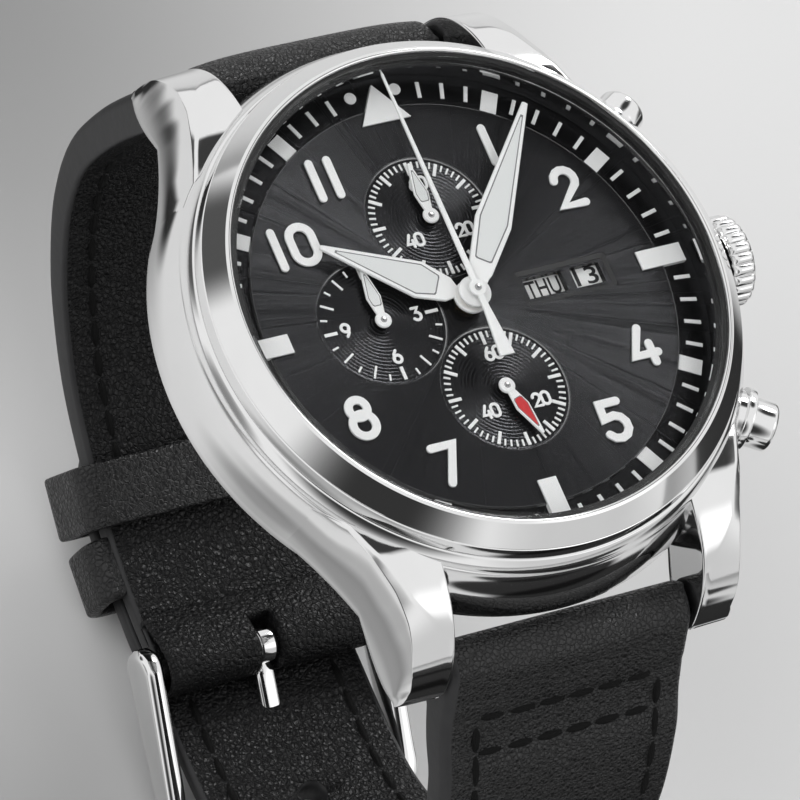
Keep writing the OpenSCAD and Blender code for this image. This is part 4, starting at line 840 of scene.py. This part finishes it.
def strap_shell(rows, out, end_width, point=None):
    """A strap half: at each place along its route a section with a domed face, painted rounded edges and
    a flat lining. It starts in a round fold about the bar and ends thin, or in a point."""
    path, normal, gone = run_of(rows)
    away = -np.gradient(path[:, :2], axis=0)[0]
    fold = np.radians(np.linspace(0, 80, 9))
    bend = path[0, :2] + away / np.linalg.norm(away) * fold_r * np.cos(fold)[:, None]
    place = np.vstack([bend, path[:, :2]])
    normal = np.vstack([np.repeat(normal[:1], 9, 0), normal]) * out
    half = np.where(gone < fold_run, np.interp(gone, [0, fold_run], [fold_r, full / 2]), path[:, 2] / 2)
    half = np.concatenate([fold_r * np.sin(fold) + 0.02, half])
    wide = strap_width(place[:, 1], end_width) / 2
    if point:
        wide = np.minimum(wide, point(place[:, 0]))
    wide = np.maximum(wide, 0.05)
    edge = np.minimum(np.minimum(edge_r, half * 0.8), wide * 0.5)
    foot = np.minimum(np.minimum(0.35, half * 0.5), wide * 0.5)
    dome = np.minimum(dome_drop, half * 0.3)
    u = np.linspace(-1, 1, 17)[:, None]
    face = np.stack([u * (wide - edge), half - dome * u ** 4], -1)
    q = np.radians(np.linspace(90, 0, 6))[1:, None]
    side = np.stack([wide - edge + edge * np.cos(q), half - dome - edge + edge * np.sin(q)], -1)
    q = np.radians(np.linspace(0, -90, 5))[:, None]
    under = np.stack([wide - foot + foot * np.cos(q), -half + foot + foot * np.sin(q)], -1)
    back = np.stack([-u[1:-1:2] * (wide - foot), -half + 0 * u[1:-1:2]], -1)
    loop = np.concatenate([face, side, under, back, under[::-1] * (-1, 1), side[::-1] * (-1, 1)])
    loop = np.moveaxis(loop, 0, 1)
    points = np.dstack([loop[..., 0], place[:, None] + normal[:, None] * loop[..., 1:]])
    return grid(capped(points), False, True, np.repeat([0, 1, 2, 1, 0], [18, 8, 9, 9, 1]))


def calf_leather(name, size=0.3, depth=0.1, shine=0.5):
    """Black calf: round pebbles parted by fine creases, under broad soft wrinkles.
    Painted shade darkens the creases.
    """
    made = Finish(name)
    pebble = made.cells(size)
    crease = made.cells(size * 1.3, "DISTANCE_TO_EDGE").below(0.08, 0.08)
    fine = made.noise(0.12)
    broad = made.noise(3.0, 4.0)
    height = (1.0 - pebble) * depth - crease * depth * 0.5 + fine * depth * 0.2 + broad * 0.05
    # Colour: painted shade in the sunk creases, and darker at random with the broad wrinkles.
    tone = made.mix(crease * 0.5 + broad * 0.5, (0.008, 0.008, 0.0084), (0.003, 0.003, 0.0033))
    return made.shade(tone, roughness=fine * 0.15 + 0.25 + crease * 0.25, specular=shine,
                      normal=made.bump(height))


leather = calf_leather("calf_leather")
paint = plain_coat("edge_paint", 1.5, (0.018, 0.018, 0.019), (0.03, 0.03, 0.031), 0.4, 0.15, 0.05,
                   specular=0.3)
lining = calf_leather("inner_leather", 0.36, 0.11, 0.25)
skin = [leather, paint, lining]


def tip_width(y):
    """Half the width of the strap's point at a place along it, and far more where the strap isn't cut."""
    curve, uncut = bezier((12.56, 8.6), (18.56, 7.6), (19.56, 0.05), 40), 30.0
    return np.interp(y, curve[:, 0], curve[:, 1], left=uncut, right=0.05) * (y > 0) + uncut * (y <= 0)


def bored(piece, holes):
    """Cuts holes in a piece with an exact Boolean, and keeps only the result."""
    cutters = make("holes", "case", holes, [paint], crease=40)
    cut = piece.modifiers.new("holes", "BOOLEAN")
    cut.operation, cut.solver, cut.object = "DIFFERENCE", "EXACT", cutters
    bpy.context.view_layer.update()
    result = bpy.data.meshes.new_from_object(piece.evaluated_get(bpy.context.evaluated_depsgraph_get()))
    piece.modifiers.clear()
    piece.data = result
    bpy.data.objects.remove(cutters)


def rod(place, way, radius, half, steps=24):
    """A closed rod about a point, along a direction across the strap's own plane."""
    shape = lathe([(0, -half), (radius, -half), (radius, half), (0, half)], False, steps)
    up, side = np.array([0, *way]), np.array([1.0, 0, 0])
    return shape[0] @ np.array([side, np.cross(up, side), up]) + np.array([0, *place]), shape[1], shape[2]


rough_path, _, rough_gone = run_of(long_rows, 4)
tang_s, hole_pitch, hole_r = rough_gone[len(long_offsets) * 4 - 3] + 1.2, 6.5, 1.1
holes = []
for k in (-3, -2, -1, 1, 2):
    s = tang_s + hole_pitch * k
    before = np.searchsorted(rough_gone, s) - 1
    way = (rough_path[before + 1] - rough_path[before])[:2]
    share = (s - rough_gone[before]) / (rough_gone[before + 1] - rough_gone[before])
    holes.append(rod(rough_path[before, :2] + way * share, left(way), hole_r, 4))
hinge = np.array([0, -3.3, -41.7])


def folded(outline, rows):
    """A solid with one outline in the plane across the hinge, carried along the hinge. Rows give each
    place along the hinge and the outline's size there."""
    points = np.stack([np.column_stack([np.full(len(outline), x), hinge[1:] + outline * size])
                       for x, size in rows])
    return grid(capped(points), False, True, 2)


slope = bezier((3.6, 1.02), (1.6, 2.05), (0.4, 2.09), 9)
round_bar = np.vstack([[(4.3, -0.2), (4.3, 0.62), (4.18, 0.8), (3.95, 0.9)], slope,
                       arc(0, 0, 2.09, 90, 270, 22), [(2.6, -2.0), (2.6, -0.2)]])
half_rows = np.vstack([[(0.95, 0.86), (1.0, 0.94), (1.15, 0.99), (1.5, 1.0)],
                       np.column_stack([np.linspace(2.2, 8.2, 9), np.ones(9)]),
                       [(8.5, 0.99), (8.7, 0.95), (8.8, 0.86)]])
over_slot = np.vstack([[(4.28, -0.2), (4.28, 0.6), (4.16, 0.79), (3.94, 0.89)], slope[:4] - (0, 0.01),
                       [(1.95, 1.5), (1.9, -0.2)]])
folds = [folded(round_bar, half_rows), folded(round_bar, half_rows * (-1, 1)),
         folded(over_slot, [(-1.3, 1), (0, 1), (1.3, 1)])]
make("strap_buckle_half", "case", [strap_shell(short_rows, 1, short_end)] + folds, skin,
     ["strap_12"], 60)
strap_long = make("strap_long_half", "case", [strap_shell(long_rows, -1, long_end, tip_width)], skin,
                  ["strap_6"], 60)
bored(strap_long, holes)


# The stitches: heavy black thread near the strap's edges and in two rows across it at the lugs. Each
# stitch is a little over two millimetres long and sunk at both ends.
stitch_r, stitch_share, edge_margin = 0.33, 0.92, 2.4


def thread():
    """Twisted black thread with a soft sheen."""
    made = Finish("thread")
    twist = made.node("ShaderNodeTexWave", {}, {"Vector": made.place(), "Scale": 4.0, "Distortion": 1.0})
    return made.shade(made.mix(twist, 0.002, 0.006), roughness=0.6, specular=0.15,
                      normal=made.bump(twist * 0.03))


def stitch(start, end, up):
    """One stitch: a fat thread that rises out of the leather and goes back in."""
    side = np.cross((end - start) / np.linalg.norm(end - start), up)
    t, q = np.linspace(0, 1, 7)[:, None, None], np.linspace(0, 2 * np.pi, 7)[:-1][None, :, None]
    rise = 0.12 * np.sin(np.pi * t) - 0.12
    slim = stitch_r * (0.45 + 0.55 * np.sin(np.pi * t) ** 0.5)
    body = start + (end - start) * t + up * rise + slim * (side * np.cos(q) + 0.75 * up * np.sin(q))
    return grid(capped(body), False, True)


def strap_at(run, out, s):
    """The place, thickness and outward direction at a length along a strap half."""
    path, normal, gone = run
    y, z, thick = (np.interp(s, gone, path[:, k]) for k in range(3))
    return np.array([y, z]), thick, np.array([np.interp(s, gone, normal[:, k]) for k in range(2)]) * out


def seam(rows, out, side, end_width, first, last, face, pitch=2.5):
    """Stitches near one edge of a strap half, between two lengths, on its face at 1 or its back at -1."""
    run, made = run_of(rows), []
    for s in np.arange(first, last, pitch):
        ends, ups = [], []
        for q in (s, s + pitch * stitch_share):
            place, thick, n = strap_at(run, out, q)
            x = side * (strap_width(place[1], end_width) / 2 - edge_margin)
            reach = min(1, abs(x / (strap_width(place[1], short_end) / 2 - edge_r)))
            drop = dome_drop * reach ** 4 if face > 0 else 0
            ends.append(np.array([x, *(place + n * face * (thick / 2 - drop))]))
            ups.append(np.array([0, *(n * face)]))
        made.append(stitch(*ends, ups[0]))
    return made


def cross_seam(rows, out, s, pitch=2.35):
    """A row of stitches across the face of a strap half."""
    place, thick, n = strap_at(run_of(rows), out, s)
    made = []
    for x in np.arange(-7.2, 6.0, pitch):
        drop = dome_drop * (max(abs(x), abs(x + 2)) / 8.9) ** 4
        ends = [np.array([v, *(place + n * (thick / 2 - drop))]) for v in (x, x + pitch * stitch_share)]
        made.append(stitch(*ends, np.array([0, *n])))
    return made


sewing = []
for side in (-1, 1):
    for rows, out, end_width, first, last in ((short_rows, 1, short_end, 4.6, 49),
                                              (long_rows, -1, long_end, 4.3, 84)):
        sewing += seam(rows, out, side, end_width, first, last, 1)
        sewing += seam(rows, out, side, end_width, 6.0, last, -1)
for s in (3.6, 6.7):
    sewing += cross_seam(long_rows, -1, s) + cross_seam(short_rows, 1, s)
make("stitches", "case", sewing, [thread()], crease=60)


# The two keepers: closed loops of the same leather, one sewn to the buckle half and one that slides.
def leaned(x, y, z, degrees, origin):
    """A shape turned about the X axis and carried to an origin that is given by its Y and Z."""
    c, s = cos_sin(degrees)
    return np.stack([x, origin[0] + y * c - z * s, origin[1] + y * s + z * c], -1)


def keeper(name, body, node, segment, share, length, play, tucked=0):
    """A rounded leather loop: a rounded strip section carried round a rounded box about the strap, at a
    share of the way between two rows of the buckle half. The run on the wrist's side can be tucked in."""
    rows = np.vstack([short_rows[:1], short_rows, short_rows[-1:]])[segment:segment + 4]
    y0, z0, thick = catmull_rom(rows, share)
    way = catmull_rom(rows, share + 0.05) - catmull_rom(rows, share - 0.05)
    low, high = -thick / 2 - play + tucked, thick / 2 + lap_gap + thin + play
    w, h = short_end / 2 + side_gap + strip_half, (high - low) / 2 + strip_half
    route = soften([(-w, -h), (w, -h), (w, h), (-w, h)], 1.6, 9)
    out = -left(np.roll(route, -1, 0) - np.roll(route, 1, 0))
    strip = soften([(-strip_half, -length / 2), (strip_half, -length / 2), (strip_half, length / 2),
                    (-strip_half, length / 2)], 0.38, 5)
    x = route[:, None, 0] + out[:, None, 0] * strip[None, :, 0]
    z = route[:, None, 1] + out[:, None, 1] * strip[None, :, 0] + (low + high) / 2
    y = np.broadcast_to(strip[None, :, 1], x.shape)
    points = leaned(x, y, z, math.degrees(math.atan2(way[1], way[0])), (y0, z0))
    make(name, body, [grid(points, True, True)], [keeper_leather], [node], 60)


keeper_leather, strip_half, side_gap = calf_leather("keeper_leather", 0.34, 0.08), 0.6, 0.55
keeper("keeper_sewn", "case", "fixed_keeper", 10, 0.34, 4.8, 0.25, 1.6)
keeper("keeper_sliding", "sliding_keeper", "free_keeper", 9, 0.38, 5.0, 0.45)


# The pin buckle: a polished steel bow whose two arms end in round bosses on the hinge bar, and a flat
# tang that turns on the same bar and rests on the bow.
buckle_lean = 207


def on_buckle(points):
    """From the buckle's own frame, Y towards the front bar and Z out of the strap, to the watch's."""
    return leaned(*np.moveaxis(points, -1, 0), buckle_lean, hinge[1:])


def bulged(steps, x_power, z_power):
    """A circle pushed out towards the corners of its box: cosine and sine raised to powers under 1."""
    turn = np.linspace(0, 2 * np.pi, steps, endpoint=False)
    return [np.sign(f(turn)) * np.abs(f(turn)) ** power
            for f, power in ((np.cos, x_power), (np.sin, z_power))]


def bow():
    """The bow: a rounded section carried along one arm, round the front and back along the other. It is
    tall at the hinge, where it ends in a round boss, and low and broad at the front."""
    arm_x, front_y, bend_r, boss_r = 9.95, 13.55, 2.4, 1.98
    arm_y = np.concatenate([np.linspace(-1.95, 0, 9), np.linspace(0.6, front_y - bend_r, 16)])
    arm = np.vstack([np.column_stack([np.full(25, arm_x), arm_y]),
                     arc(arm_x - bend_r, front_y - bend_r, bend_r, 0, 90, 12)[1:]])
    line = np.vstack([arm, [(3.5, front_y), (0, front_y), (-3.5, front_y)], arm[::-1] * (-1, 1)])
    out = -left(np.gradient(line, axis=0))
    tall = np.interp(line[:, 1], [0, front_y], [boss_r, 1.1])
    in_boss = line[:, 1] < 0
    tall[in_boss] = np.sqrt(np.maximum(boss_r ** 2 - line[in_boss, 1] ** 2, 0.02))
    broad = np.interp(line[:, 1], [front_y - 3.2, front_y - 0.4], [0.92, 1.08])
    broad = broad * np.interp(line[:, 1], [-boss_r, -1.4], [0.55, 1])
    cx, cz = bulged(24, 0.62, 0.72)
    points = np.dstack([line[:, None] + out[:, None] * (broad[:, None] * cx)[..., None], tall[:, None] * cz])
    return on_buckle(capped(points))


buckle_steel = steel("buckle_steel", 0.80, 0.06)
make("buckle_bow", "buckle", [grid(bow(), False, True)], [buckle_steel],
     ["buckle_frame"], 60)


def tang_bar():
    """The tang's blade: a rounded flat bar from the loop to a tip that bends down over the bow."""
    y = np.array([0.9, 1.4, 3, 6, 9, 12, 13.5, 14.6, 15.2, 15.5, 15.6])
    half = np.array([0.5, 0.78, 0.8, 0.8, 0.8, 0.78, 0.74, 0.68, 0.55, 0.35, 0.1])
    mid = np.array([0.65] * 8 + [0.6, 0.55, 0.5])
    thick = np.array([0.3, 0.48, 0.5, 0.5, 0.5, 0.5, 0.48, 0.42, 0.3, 0.16, 0.05])
    cx, cz = bulged(16, 0.5, 0.5)
    points = np.stack([half[:, None] * cx, y[:, None] + 0 * cx, mid[:, None] + thick[:, None] * cz], -1)
    return on_buckle(capped(points))


loop_section = soften([(0.79, -0.8), (1.4, -0.8), (1.4, 0.8), (0.79, 0.8)], [0.1, 0.35, 0.35, 0.1], 5)
loop = lathe(loop_section, True, 64)
loop = (on_buckle(np.stack([loop[0][:, 2], loop[0][:, 0], loop[0][:, 1]], -1)), loop[1], loop[2])
make("tang_pin", "buckle_tang", [grid(tang_bar(), False, True), loop], [buckle_steel],
     ["tang"], 50)
